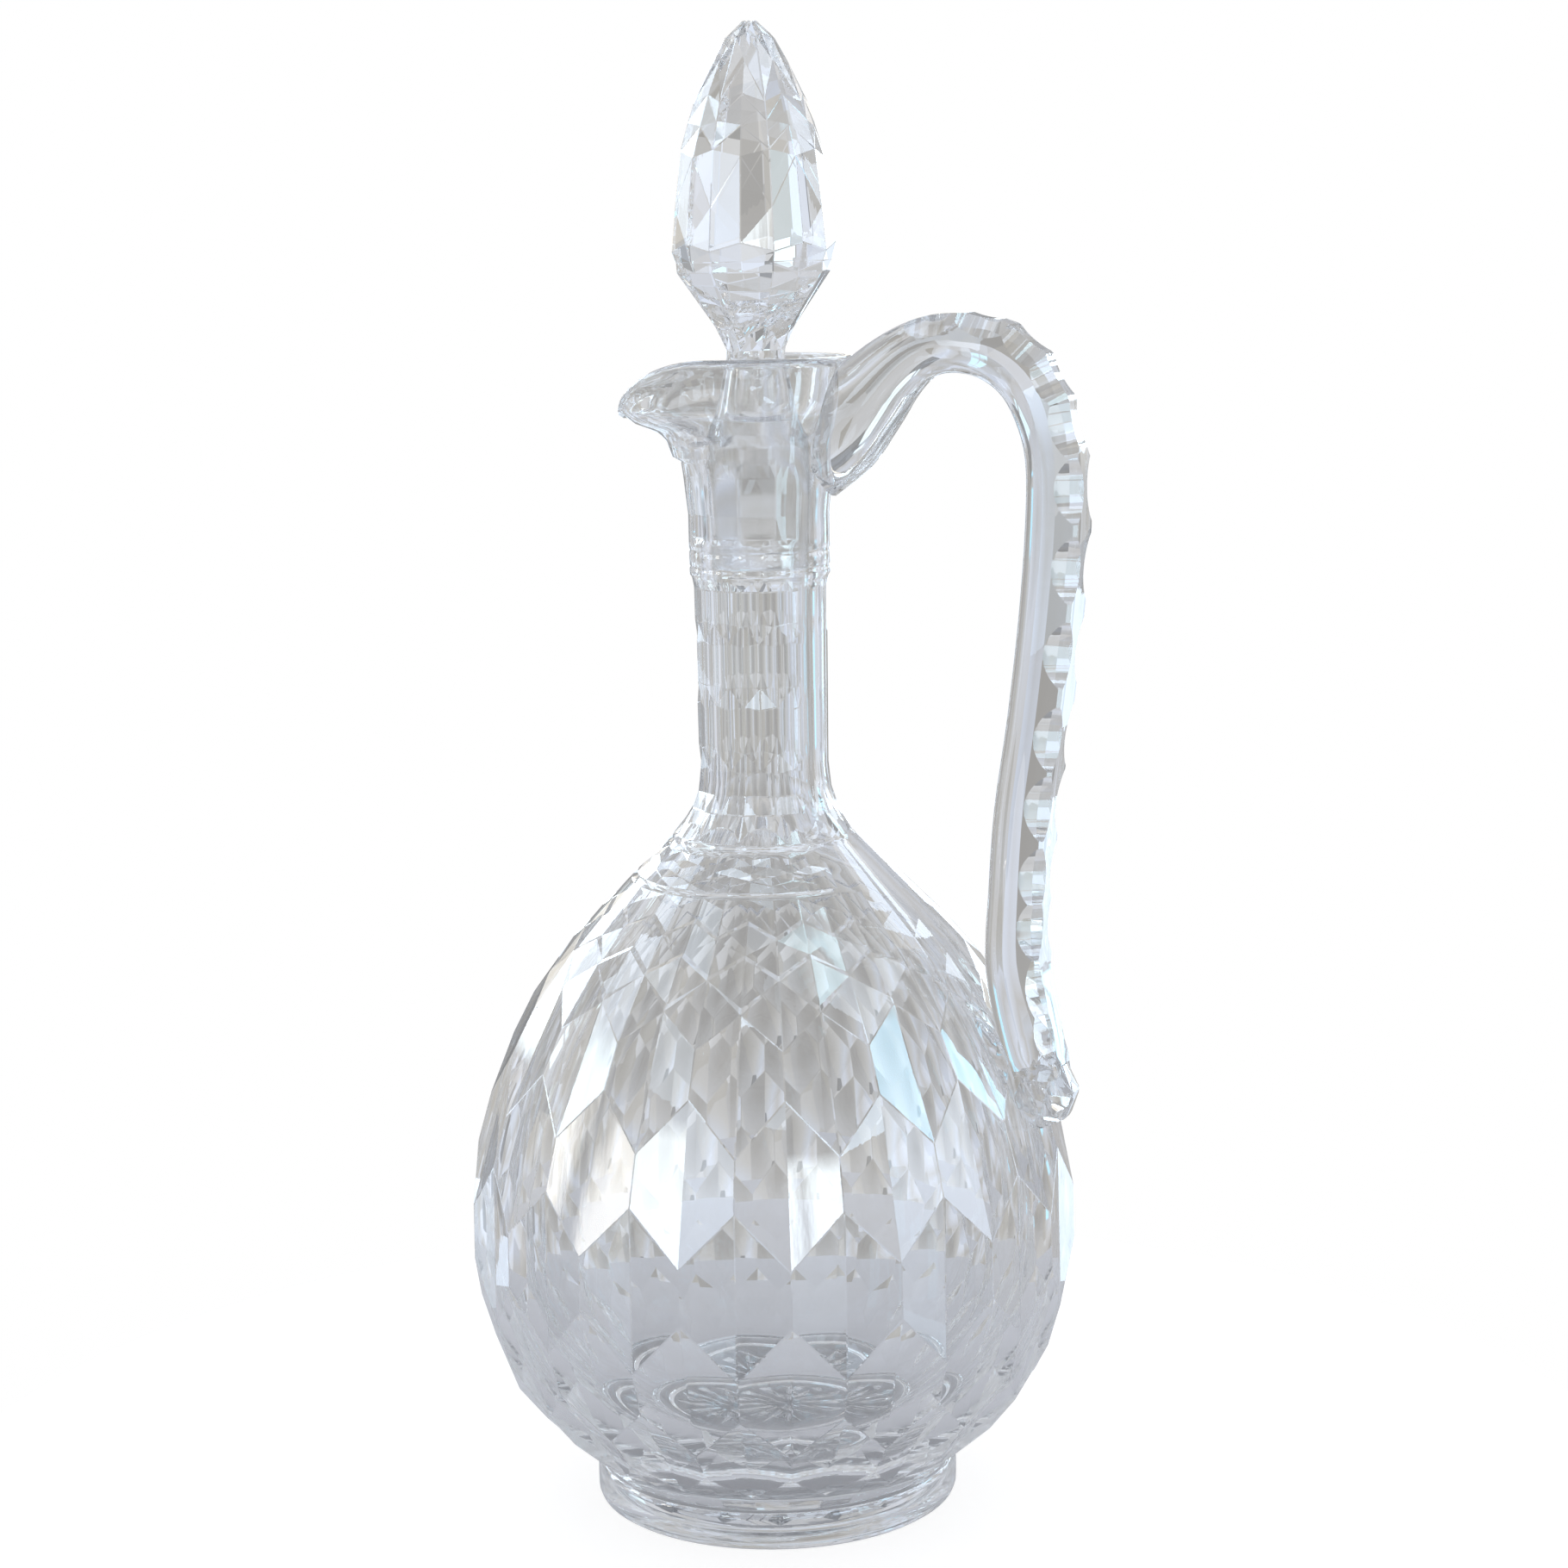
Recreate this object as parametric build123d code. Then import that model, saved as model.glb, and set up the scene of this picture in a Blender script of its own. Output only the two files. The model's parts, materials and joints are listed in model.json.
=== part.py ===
from build123d import *

import os
from math import atan2, cos, degrees, pi, sin

# Cut-crystal claret jug: a blown body with a pouring lip, an applied foot with a star-cut underside,
# a pulled and cut handle, and a ground stopper that lifts out. Millimetres, +Z up. The origin is on the
# jug's axis at the face it stands on; the handle is on +X and the pouring lip on -X.

# Driving dimensions
TOTAL_H = 330.0  # table to the stopper's point
BOWL_R = 68.5  # widest radius of the bowl
BOWL_Z = 62.0  # height of the widest point
WALL = 4.0  # glass thickness of bowl and neck
NECK_R = 14.3  # neck, at its narrowest
RIM_Z = 258.0  # top of the mouth

# Foot
FOOT_R = 41.2
FOOT_H = 9.0
FOOT_TOP_R = 40.4
REST_R = 33.0  # inside radius of the ring that the jug stands on
RECESS = 2.5  # how far the star-cut face stands clear of the table
STAR_RAYS = 16
STAR_R = 29.0
STAR_CUT = 2.2  # side of the square bar that cuts each V groove

# Bowl and neck, outside
SEAT_R = 39.6  # where the bowl meets the foot
SHOULDER_R, SHOULDER_Z = 36.0, 137.0  # end of the bowl's upper arc
NECK_CORNER_Z = 159.0  # height at which shoulder cone and neck line would meet
NECK_FILLET = 22.0
COLLAR_R, COLLAR_LOW_Z = 15.4, 209.0
NECK_TOP_Z = 224.0  # the neck's cylinder ends inside the mouth's flare

# Inside
BOTTOM_Z = 16.0  # inside floor of the bowl
BOTTOM_R = 34.0
BORE_R = NECK_R - WALL

# Ground seat and plug
PLUG_LOW_Z, PLUG_TOP_Z = 212.0, 239.0
PLUG_LOW_R, PLUG_TOP_R = 10.6, 11.8
FIT = 0.05  # radial clearance of the ground fit

# Mouth: height, round radius, and how far the pouring lip reaches past it
LIP_WALL = 2.8
LIP_LEVELS = [
    (219.0, 14.4, 0.0),
    (228.0, 16.0, 0.4),
    (234.0, 16.6, 1.6),
    (240.0, 17.6, 2.8),
    (242.0, 18.2, 4.6),
    (243.6, 18.7, 9.4),
    (246.5, 19.4, 12.2),
    (250.0, 20.2, 12.4),
    (262.0, 22.4, 11.4),
]
MOUTH_LEVELS = [
    (237.0, 11.4, 0.0),
    (243.0, 13.6, 1.2),
    (245.6, 14.8, 4.0),
    (246.8, 15.4, 9.0),
    (248.4, 16.2, 12.4),
    (262.0, 19.6, 13.0),
]
LIP_SHARPNESS = 3  # power that narrows the pouring lip
LIP_POINTS = 24
LIP_DROP_START = 10.0  # the rim starts to fall this far from the axis
LIP_TIP_Z = 248.5  # rim height at the end of the pouring lip
LIP_TIP_X = 33.0

# Handle stations from the mouth to the curl: distance from the axis, height, depth and width of the section
HANDLE_STATIONS = [
    (13.0, 241.5, 27.0, 12.0),
    (20.0, 243.5, 25.0, 13.0),
    (26.5, 248.5, 19.5, 13.5),
    (32.0, 256.0, 15.5, 13.5),
    (38.5, 260.2, 13.0, 13.0),
    (46.0, 260.8, 12.4, 13.0),
    (54.0, 259.0, 12.8, 13.0),
    (61.0, 254.0, 13.4, 13.0),
    (65.8, 246.5, 13.8, 13.0),
    (68.3, 237.0, 14.0, 13.0),
    (68.6, 222.0, 14.0, 13.0),
    (67.4, 202.0, 14.0, 13.0),
    (64.8, 180.0, 13.8, 13.0),
    (61.8, 160.0, 13.6, 13.0),
    (60.0, 142.0, 13.6, 13.0),
    (59.8, 126.0, 14.0, 13.5),
    (62.0, 112.0, 14.0, 14.0),
    (64.5, 101.0, 12.0, 14.5),
]
HANDLE_CHAMFER = 3.2
CURL_X, CURL_Z, CURL_R = 64.2, 98.4, 8.6
CURL_FLAT = 15.0  # distance across the curl's cut flats
THUMB_FIRST_Z, THUMB_PITCH, THUMB_COUNT = 231.0, 18.4, 6
THUMB_R = 14.0  # radius of the wheel that cuts the thumb marks
THUMB_DEPTH = 1.5

# Stopper finial: height and radius across corners of each tier
FINIAL_SIDES = 16
FINIAL_TIERS = [
    (262.0, 6.8),
    (275.6, 17.2),
    (278.0, 17.4),
    (280.8, 18.3),
    (292.0, 17.6),
    (303.0, 15.6),
    (313.0, 12.4),
    (322.0, 8.2),
    (327.4, 4.2),
    (TOTAL_H, 0.8),
]
SHANK = [(6.8, 262.0), (6.4, 258.5), (7.6, 252.0), (9.4, 242.5), (PLUG_TOP_R, PLUG_TOP_Z)]


def revolved(*edges):
    """Turn a closed outline, drawn as (radius, height), about the jug's axis."""
    return revolve(Plane.XZ * make_face(edges), Axis.Z)


def bowl_outline(widest, low, shoulder, corner, top, fillet):
    """Edges of the bowl's side from its low end, over the shoulder, up the neck."""
    rise = TangentArc(widest, low, tangent=(0, -1))
    shoulder_arc = TangentArc(widest, shoulder, tangent=(0, 1))
    neck = FilletPolyline(shoulder, corner, top, radius=fillet)
    return [rise, shoulder_arc, *neck.edges()]


def outer_bowl():
    """Bowl and neck with no cavity, up to the mouth's first level."""
    widest, seat = (BOWL_R, BOWL_Z), (SEAT_R, FOOT_H)
    shoulder, corner = (SHOULDER_R, SHOULDER_Z), (NECK_R, NECK_CORNER_Z)
    collar_foot = (NECK_R + 0.4, COLLAR_LOW_Z)
    side = bowl_outline(widest, seat, shoulder, corner, collar_foot, NECK_FILLET)
    closing = Polyline(
        collar_foot, (COLLAR_R, COLLAR_LOW_Z + 1), (COLLAR_R, NECK_TOP_Z), (0, NECK_TOP_Z), (0, FOOT_H), seat,
    )
    return revolved(*side, *closing.edges())


def cavity():
    """Space inside the bowl and neck, up to the top of the ground seat."""
    widest = (BOWL_R - WALL, BOWL_Z)
    shoulder = (SHOULDER_R - WALL, SHOULDER_Z - WALL / 2)
    corner = (BORE_R, NECK_CORNER_Z - WALL / 2)
    seat_low = (PLUG_LOW_R + FIT, PLUG_LOW_Z)
    bore_top = (BORE_R, PLUG_LOW_Z - 4)
    side = bowl_outline(widest, (BOTTOM_R, BOTTOM_Z), shoulder, corner, bore_top, NECK_FILLET)
    seat_top = (PLUG_TOP_R + FIT, PLUG_TOP_Z)
    closing = Polyline(bore_top, seat_low, seat_top, (0, PLUG_TOP_Z), (0, BOTTOM_Z), (BOTTOM_R, BOTTOM_Z))
    return revolved(*side, *closing.edges())


def lip_section(height, round_r, reach):
    """One level of the mouth: a circle drawn out towards -X."""
    points = []
    for i in range(LIP_POINTS):
        turn = 2 * pi * i / LIP_POINTS
        r = round_r + reach * ((1 - cos(turn)) / 2) ** LIP_SHARPNESS
        points.append((r * cos(turn), r * sin(turn), height))
    return make_face(Spline(*points, periodic=True))


def above_rim():
    """Everything above the rim, which falls away towards the end of the pouring lip."""
    far = 60.0
    level = Line((far, RIM_Z), (-LIP_DROP_START, RIM_Z))
    fall = TangentArc((-LIP_DROP_START, RIM_Z), (-LIP_TIP_X, LIP_TIP_Z), tangent=(-1, 0))
    corners = [(-far, LIP_TIP_Z), (-far, RIM_Z + far), (far, RIM_Z + far), (far, RIM_Z)]
    rest = Polyline((-LIP_TIP_X, LIP_TIP_Z), *corners)
    return extrude(Plane.XZ * make_face([level, fall, *rest.edges()]), far, both=True)


def jug_body():
    mouth_solid = loft([lip_section(*level) for level in LIP_LEVELS], ruled=True)
    mouth_space = loft([lip_section(*level) for level in MOUTH_LEVELS], ruled=True)
    return outer_bowl() + mouth_solid - cavity() - mouth_space - above_rim()


def body_envelope():
    """Outside of the jug with its cavity filled, for trimming what is fused to it."""
    mouth_solid = loft([lip_section(*level) for level in LIP_LEVELS], ruled=True)
    return outer_bowl() + mouth_solid - above_rim()


def foot():
    disc = revolved(*Polyline(
        (0, RECESS), (REST_R - 2, RECESS), (REST_R, 0), (FOOT_R - 1, 0), (FOOT_R, 1), (FOOT_R, FOOT_H - 2.5),
        (FOOT_TOP_R, FOOT_H), (0, FOOT_H), (0, RECESS),
    ).edges())
    bar = Pos(STAR_R / 2, 0, RECESS) * Rot(45, 0, 0) * Box(STAR_R, STAR_CUT, STAR_CUT)
    for ray in range(STAR_RAYS):
        disc -= Rot(0, 0, 360 * ray / STAR_RAYS) * bar
    return disc


def handle_plane(index):
    """Plane across the handle at one station, its X axis away from the finger gap and its Y axis along Y."""
    before = HANDLE_STATIONS[max(index - 1, 0)]
    after = HANDLE_STATIONS[min(index + 1, len(HANDLE_STATIONS) - 1)]
    x, z = HANDLE_STATIONS[index][:2]
    along = Vector(after[0] - before[0], 0, after[1] - before[1])
    return Plane((x, 0, z), x_dir=(0, 1, 0), z_dir=along)


def handle_section(index):
    """Octagon across the handle at one station."""
    depth, width = HANDLE_STATIONS[index][2:]
    a, b, c = width / 2, depth / 2, HANDLE_CHAMFER
    right = [(a, c - b), (a, b - c), (a - c, b)]
    left = [(c - a, b), (-a, b - c), (-a, c - b), (c - a, -b)]
    return handle_plane(index) * make_face(Polyline(*right, *left, (a - c, -b), close=True))


def handle_back(z):
    """Distance of the handle's back from the axis at one height of its long straight run, and its lean."""
    run = [station for station in HANDLE_STATIONS if station[1] < 245]
    for upper, lower in zip(run, run[1:]):
        if lower[1] <= z <= upper[1]:
            share = (upper[1] - z) / (upper[1] - lower[1])
            middle = upper[0] + share * (lower[0] - upper[0])
            depth = upper[2] + share * (lower[2] - upper[2])
            return middle + depth / 2, degrees(atan2(upper[0] - lower[0], upper[1] - lower[1]))
    raise ValueError(f"no handle at height {z}")


def thumb_wheels():
    """Wheels that cut the thumb marks into both back corners of the handle."""
    wheels = []
    for mark in range(THUMB_COUNT):
        z = THUMB_FIRST_Z - mark * THUMB_PITCH
        back, lean = handle_back(z)
        for side in (-1, 1):
            corner = Pos(back - HANDLE_CHAMFER / 2, side * (6.5 - HANDLE_CHAMFER / 2), z)
            wheel = Pos(THUMB_R - THUMB_DEPTH, 0, 0) * Rot(90, 0, 0) * Cylinder(THUMB_R, 20)
            wheels.append(corner * Rot(0, lean, side * 45) * wheel)
    return wheels


def curl():
    """Folded-back lower end of the handle, with flats cut round it."""
    ball = Sphere(CURL_R)
    ball &= Rot(0, 20, 0) * Box(CURL_FLAT, CURL_FLAT, CURL_FLAT)
    ball &= Rot(45, 20, 45) * Box(CURL_FLAT, CURL_FLAT, CURL_FLAT)
    return Pos(CURL_X, 0, CURL_Z) * ball


def handle():
    strap = loft([handle_section(i) for i in range(len(HANDLE_STATIONS))], ruled=True)
    for wheel in thumb_wheels():
        strap -= wheel
    return strap + curl() - body_envelope()


def stopper():
    tiers = [Pos(0, 0, z) * RegularPolygon(r, FINIAL_SIDES) for z, r in FINIAL_TIERS]
    finial = loft(tiers, ruled=True)
    plug = revolved(*Polyline(
        *SHANK, (PLUG_LOW_R, PLUG_LOW_Z), (0, PLUG_LOW_Z), (0, SHANK[0][1]), SHANK[0],
    ).edges())
    return finial + plug


os.makedirs("parts", exist_ok=True)
export_step(jug_body(), "parts/jug_body.step")
export_step(foot(), "parts/foot.step")
export_step(handle(), "parts/handle.step")
export_step(stopper(), "parts/stopper.step")
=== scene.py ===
"""Studio model of a cut-crystal claret jug with a star-cut foot, a cut handle and a lift-out stopper."""

import json
import logging
import math
from dataclasses import astuple, dataclass
from enum import Enum
from typing import Callable, Iterable, Sequence

import bmesh
import bpy
from mathutils import Matrix, Vector

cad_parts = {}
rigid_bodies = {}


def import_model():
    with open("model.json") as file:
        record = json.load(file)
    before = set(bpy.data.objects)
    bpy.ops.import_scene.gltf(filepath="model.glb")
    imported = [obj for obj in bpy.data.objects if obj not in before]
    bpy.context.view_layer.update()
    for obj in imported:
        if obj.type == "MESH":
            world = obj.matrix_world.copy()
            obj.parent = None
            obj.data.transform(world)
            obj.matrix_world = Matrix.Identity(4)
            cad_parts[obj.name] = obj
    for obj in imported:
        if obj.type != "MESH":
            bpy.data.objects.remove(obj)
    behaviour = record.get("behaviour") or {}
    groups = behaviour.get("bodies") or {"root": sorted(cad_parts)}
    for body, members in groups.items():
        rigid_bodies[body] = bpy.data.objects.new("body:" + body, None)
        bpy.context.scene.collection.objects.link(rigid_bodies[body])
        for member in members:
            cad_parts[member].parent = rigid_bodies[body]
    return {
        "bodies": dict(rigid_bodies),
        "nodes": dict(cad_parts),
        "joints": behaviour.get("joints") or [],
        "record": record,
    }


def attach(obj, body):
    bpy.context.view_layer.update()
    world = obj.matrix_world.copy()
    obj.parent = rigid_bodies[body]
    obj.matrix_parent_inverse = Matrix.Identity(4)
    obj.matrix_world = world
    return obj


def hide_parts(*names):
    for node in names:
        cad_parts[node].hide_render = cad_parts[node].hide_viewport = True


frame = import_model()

log = logging.getLogger("claret_jug")

MM = 0.001
FULL_TURN = 360.0

# Distances in mm under which points are one, triangles are slivers and radii are equal, and the smallest
# angle in degrees between facets whose edge is eased.
MERGE = 0.01
SLIVER = 0.004
SAME_RADIUS = 0.001
EASED_ABOVE = 4.0

Point = tuple[float, float]
Colour = tuple[float, float, float]
Place = Callable[[float], Point]
VertTest = Callable[[Vector], bool]
FaceTest = Callable[[bpy.types.MeshPolygon], bool]
Piece = bpy.types.Object
Tree = bpy.types.NodeTree
Socket = bpy.types.NodeSocket
Value = Socket | float


class Line(Enum):
    """The two families of vertical lines that a row of staggered facets is cut on."""

    EVEN = 0
    ODD = 1


class Cut(Enum):
    """What a boolean does with the second piece."""

    DIFFERENCE = "DIFFERENCE"
    UNION = "UNION"


class Steps(Enum):
    """How a ramp passes from one band to the next."""

    CONSTANT = "CONSTANT"
    LINEAR = "LINEAR"


# ---------------------------------------------------------------- bench tools


def deselect_all() -> None:
    """Leave no object selected, so an operator acts only on what is selected next."""
    if bpy.context.object and bpy.context.object.mode != "OBJECT":
        bpy.ops.object.mode_set(mode="OBJECT")
    bpy.ops.object.select_all(action="DESELECT")


def pick(obj: Piece) -> None:
    """Select one object alone and make it active.

    Args:
        obj: piece to select.
    """
    deselect_all()
    obj.select_set(True)
    bpy.context.view_layer.objects.active = obj


def settle(obj: Piece, name: str) -> Piece:
    """Name a new piece and move its place into its mesh.

    Args:
        obj: new piece.
        name: name for it and its mesh.

    Returns:
        The same piece.
    """
    pick(obj)
    obj.name = obj.data.name = name
    bpy.ops.object.transform_apply(location=True, rotation=True, scale=True)
    return obj


def ring_of(name: str, count: int, radius: float, height: float, turn: float) -> Piece:
    """Lay down an open ring and enter edit mode with it selected.

    Args:
        name: name of the new piece.
        count: number of vertices.
        radius: radius in mm.
        height: height in mm.
        turn: azimuth of the first vertex in degrees.

    Returns:
        The new piece, in edit mode.
    """
    deselect_all()
    bpy.ops.mesh.primitive_circle_add(
        vertices=count, radius=radius * MM, fill_type="NOTHING",
        location=(0, 0, height * MM), rotation=(0, 0, math.radians(turn)),
    )
    obj = settle(bpy.context.object, name)
    bpy.ops.object.mode_set(mode="EDIT")
    bpy.ops.mesh.select_mode(type="VERT")
    bpy.ops.mesh.select_all(action="SELECT")
    return obj


def azimuth(place: Vector) -> float:
    """Angle of a place about the jug's axis in degrees, 0 at the handle."""
    return math.degrees(math.atan2(place.y, place.x))


def off_axis(place: Vector) -> float:
    """Distance of a place from the jug's axis."""
    return math.hypot(place.x, place.y)


def at_height(height: float, beyond: float = 0.0, within: float = 0.02) -> VertTest:
    """Test for vertices at one height and no nearer to the axis than a radius, in mm."""
    return lambda place: abs(place.z - height * MM) < within * MM and off_axis(place) >= beyond * MM


def select_only(obj: Piece, mesh: bmesh.types.BMesh, verts: Sequence[bmesh.types.BMVert]) -> None:
    """Select some vertices and nothing else, in edit mode.

    Args:
        obj: the piece, in edit mode.
        mesh: its edit mesh.
        verts: vertices to select.
    """
    for element in (*mesh.verts, *mesh.edges, *mesh.faces):
        element.select = False
    for vert in verts:
        vert.select = True
    mesh.select_flush(True)
    bmesh.update_edit_mesh(obj.data)


def choose(obj: Piece, test: VertTest, among_selected: bool = False) -> list[int]:
    """Select the vertices that pass a test, in edit mode.

    Args:
        obj: the piece, in edit mode.
        test: takes a vertex place in metres.
        among_selected: keep only vertices that are selected already.

    Returns:
        Indices of the vertices now selected.
    """
    mesh = bmesh.from_edit_mesh(obj.data)
    chosen = [v for v in mesh.verts if test(v.co) and (v.select or not among_selected)]
    select_only(obj, mesh, chosen)
    return [v.index for v in chosen]


def choose_indices(obj: Piece, wanted: Iterable[int]) -> None:
    """Select vertices by index, in edit mode.

    Args:
        obj: the piece, in edit mode.
        wanted: indices of the vertices.
    """
    mesh = bmesh.from_edit_mesh(obj.data)
    mesh.verts.ensure_lookup_table()
    select_only(obj, mesh, [mesh.verts[index] for index in wanted])


def selected_ring(obj: Piece) -> list[int]:
    """Indices of the vertices selected in edit mode."""
    return [v.index for v in bmesh.from_edit_mesh(obj.data).verts if v.select]


def extrude_in_place() -> None:
    """Extrude what is selected and leave the copy where it is."""
    bpy.ops.mesh.extrude_region_move(TRANSFORM_OT_translate={"value": (0, 0, 0)})


def place_ring(obj: Piece, where: Place, extrude: bool = True) -> None:
    """Extrude the selected ring, then set each vertex by its azimuth.

    Args:
        obj: the piece, in edit mode, with one ring selected.
        where: gives (radius, height) in mm at an azimuth in degrees.
        extrude: False moves the selected ring and adds none.
    """
    if extrude:
        extrude_in_place()
    mesh = bmesh.from_edit_mesh(obj.data)
    for vert in mesh.verts:
        if vert.select:
            turn = math.radians(azimuth(vert.co))
            radius, height = where(math.degrees(turn))
            vert.co = Vector((radius * math.cos(turn), radius * math.sin(turn), height)) * MM
    bmesh.update_edit_mesh(obj.data)


def turn_rings(obj: Piece, levels: Iterable[Point]) -> None:
    """Extrude the selected ring through plain round rings."""
    for level in levels:
        place_ring(obj, lambda turn: level)


def next_ring(obj: Piece, radius: float, height: float) -> None:
    """Extrude the selected ring and scale it from the size it has.

    Args:
        obj: the piece, in edit mode, with one ring selected.
        radius: new radius in mm.
        height: new height in mm.
    """
    mesh = bmesh.from_edit_mesh(obj.data)
    place = next(v.co for v in mesh.verts if v.select)
    scale, rise = radius * MM / off_axis(place), height * MM - place.z
    bpy.ops.mesh.extrude_region_move(TRANSFORM_OT_translate={"value": (0, 0, rise)})
    bpy.ops.transform.resize(value=(scale, scale, 1), center_override=(0, 0, height * MM))


def close_ring(obj: Piece, radius: float, height: float) -> None:
    """Draw the selected ring in to a small one and close it on the axis.

    Args:
        obj: the piece, in edit mode, with one ring selected.
        radius: radius of the small ring in mm.
        height: height in mm.
    """
    next_ring(obj, radius, height)
    extrude_in_place()
    bpy.ops.mesh.merge(type="CENTER")


def split_edges(obj: Piece, cuts: int, on_ring: VertTest) -> None:
    """Cut each edge of one ring into equal lengths and leave the whole ring selected.

    Args:
        obj: the piece, in edit mode.
        cuts: cuts in each edge.
        on_ring: test for the vertices of the ring.
    """
    choose(obj, on_ring)
    bpy.ops.mesh.select_mode(type="EDGE")
    bpy.ops.mesh.subdivide(number_cuts=cuts)
    bpy.ops.mesh.select_mode(type="VERT")
    choose(obj, on_ring)


def join_into(first: Piece, *others: Piece) -> Piece:
    """Join objects into the first one and merge the vertices that meet.

    Args:
        first: piece that stays.
        others: pieces that become part of it.

    Returns:
        The first piece.
    """
    pick(first)
    for other in others:
        other.select_set(True)
    bpy.ops.object.join()
    bpy.ops.object.mode_set(mode="EDIT")
    bpy.ops.mesh.select_all(action="SELECT")
    bpy.ops.mesh.remove_doubles(threshold=MERGE * MM)
    bpy.ops.mesh.select_all(action="DESELECT")
    bpy.ops.object.mode_set(mode="OBJECT")
    return first


def face_outward(obj: Piece) -> None:
    """Turn every face of a closed piece outward.

    Args:
        obj: closed piece.
    """
    pick(obj)
    bpy.ops.object.mode_set(mode="EDIT")
    bpy.ops.mesh.select_all(action="SELECT")
    bpy.ops.mesh.normals_make_consistent(inside=False)
    bpy.ops.object.mode_set(mode="OBJECT")


def apply_boolean(obj: Piece, other: Piece, operation: Cut) -> None:
    """Apply one exact boolean with another object, which is then removed.

    Args:
        obj: piece that is cut or added to.
        other: piece that cuts or is added.
        operation: what is done with the other piece.
    """
    pick(obj)
    modifier = obj.modifiers.new("cut", "BOOLEAN")
    modifier.object, modifier.operation, modifier.solver = other, operation.value, "EXACT"
    bpy.ops.object.modifier_apply(modifier=modifier.name)
    bpy.data.objects.remove(other, do_unlink=True)


def shade_flat_and_smooth(obj: Piece, is_smooth: FaceTest) -> None:
    """Shade each face smooth or flat by a test on the face.

    Args:
        obj: finished piece.
        is_smooth: takes a face and says how it is shaded.
    """
    for face in obj.data.polygons:
        face.use_smooth = is_smooth(face)
    obj.data.update()


def ease_edges(obj: Piece, width: float, above: float = EASED_ABOVE) -> None:
    """Polish a hair-wide flat along the edges between cut facets, as the polishing wheel leaves.

    Args:
        obj: finished shell whose cut facets are shaded flat.
        width: width of the flat in mm.
        above: smallest angle in degrees between the facets of an edge that is eased.
    """
    pick(obj)
    bpy.ops.object.mode_set(mode="EDIT")
    mesh = bmesh.from_edit_mesh(obj.data)
    weight = mesh.edges.layers.float.new("bevel_weight_edge")
    for edge in mesh.edges:
        cut = len(edge.link_faces) == 2 and not any(face.smooth for face in edge.link_faces)
        if cut and math.degrees(edge.calc_face_angle(0)) > above:
            edge[weight] = 1.0
    bmesh.update_edit_mesh(obj.data)
    bpy.ops.object.mode_set(mode="OBJECT")
    modifier = obj.modifiers.new("polish", "BEVEL")
    modifier.width, modifier.segments, modifier.limit_method = width * MM, 1, "WEIGHT"
    modifier.use_clamp_overlap = True
    bpy.ops.object.modifier_apply(modifier=modifier.name)


def close_slivers(obj: Piece, within: float = SLIVER) -> None:
    """Cut the faces into triangles and close up the ones that are too thin to be real.

    Args:
        obj: finished piece.
        within: height in mm under which a triangle is closed up.
    """
    pick(obj)
    bpy.ops.object.mode_set(mode="EDIT")
    bpy.ops.mesh.select_mode(type="VERT")
    bpy.ops.mesh.select_all(action="SELECT")
    bpy.ops.mesh.remove_doubles(threshold=within * MM)
    bpy.ops.mesh.select_all(action="SELECT")
    bpy.ops.mesh.quads_convert_to_tris(quad_method="BEAUTY", ngon_method="BEAUTY")
    bpy.ops.mesh.dissolve_degenerate(threshold=within * MM)
    bpy.ops.object.mode_set(mode="OBJECT")


# ---------------------------------------------------------------- outlines


@dataclass(frozen=True)
class BlownOutline:
    """Side of a blown bowl and neck in mm: two arcs, a shoulder cone and a filleted neck line."""

    widest: Point
    low: Point
    shoulder: Point
    corner: Point
    top: Point
    fillet: float

    def _on_arc(self, end: Point, height: float) -> float:
        """Radius on the arc that leaves the widest point upright and ends at another point.

        Args:
            end: radius and height of the arc's other end in mm.
            height: height in mm.

        Returns:
            Radius in mm.
        """
        drop, inset = end[1] - self.widest[1], self.widest[0] - end[0]
        radius = (drop**2 + inset**2) / (2 * inset)
        return self.widest[0] - radius + math.sqrt(radius**2 - (height - self.widest[1]) ** 2)

    def radius(self, height: float) -> float:
        """Radius of the outline at one height.

        Args:
            height: height in mm.

        Returns:
            Radius in mm.
        """
        if height <= self.shoulder[1]:
            return self._on_arc(self.low if height < self.widest[1] else self.shoulder, height)
        shoulder, corner, top = (Vector((r, z)) for r, z in (self.shoulder, self.corner, self.top))
        cone, line = (corner - shoulder).normalized(), (top - corner).normalized()
        reach = self.fillet * math.tan(cone.angle(line) / 2)
        start, end = corner - cone * reach, corner + line * reach
        if height < start.y:
            return shoulder.x + (height - shoulder.y) * cone.x / cone.y
        if height > end.y:
            return corner.x + (height - corner.y) * line.x / line.y
        centre = end + Vector((line.y, -line.x)) * self.fillet
        return centre.x - math.sqrt(self.fillet**2 - (height - centre.y) ** 2)


OUTSIDE = BlownOutline((68.5, 62), (39.6, 9), (36, 137), (14.3, 159), (14.7, 209), 22)
INSIDE = BlownOutline((64.5, 62), (34, 16), (32, 135), (10.3, 157), (10.3, 208), 22)


def between(levels: Sequence[tuple[float, ...]], height: float, column: int) -> float:
    """Read one column of a list of levels at a height, on straight lines between the levels.

    Args:
        levels: rows that start with a height.
        height: height in the unit of the rows.
        column: column to read.

    Returns:
        The value at that height.
    """
    for lower, upper in zip(levels, levels[1:]):
        if lower[0] <= height <= upper[0]:
            share = (height - lower[0]) / (upper[0] - lower[0])
            return lower[column] + share * (upper[column] - lower[column])
    return levels[0][column] if height < levels[0][0] else levels[-1][column]


# ---------------------------------------------------------------- finishes


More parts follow.
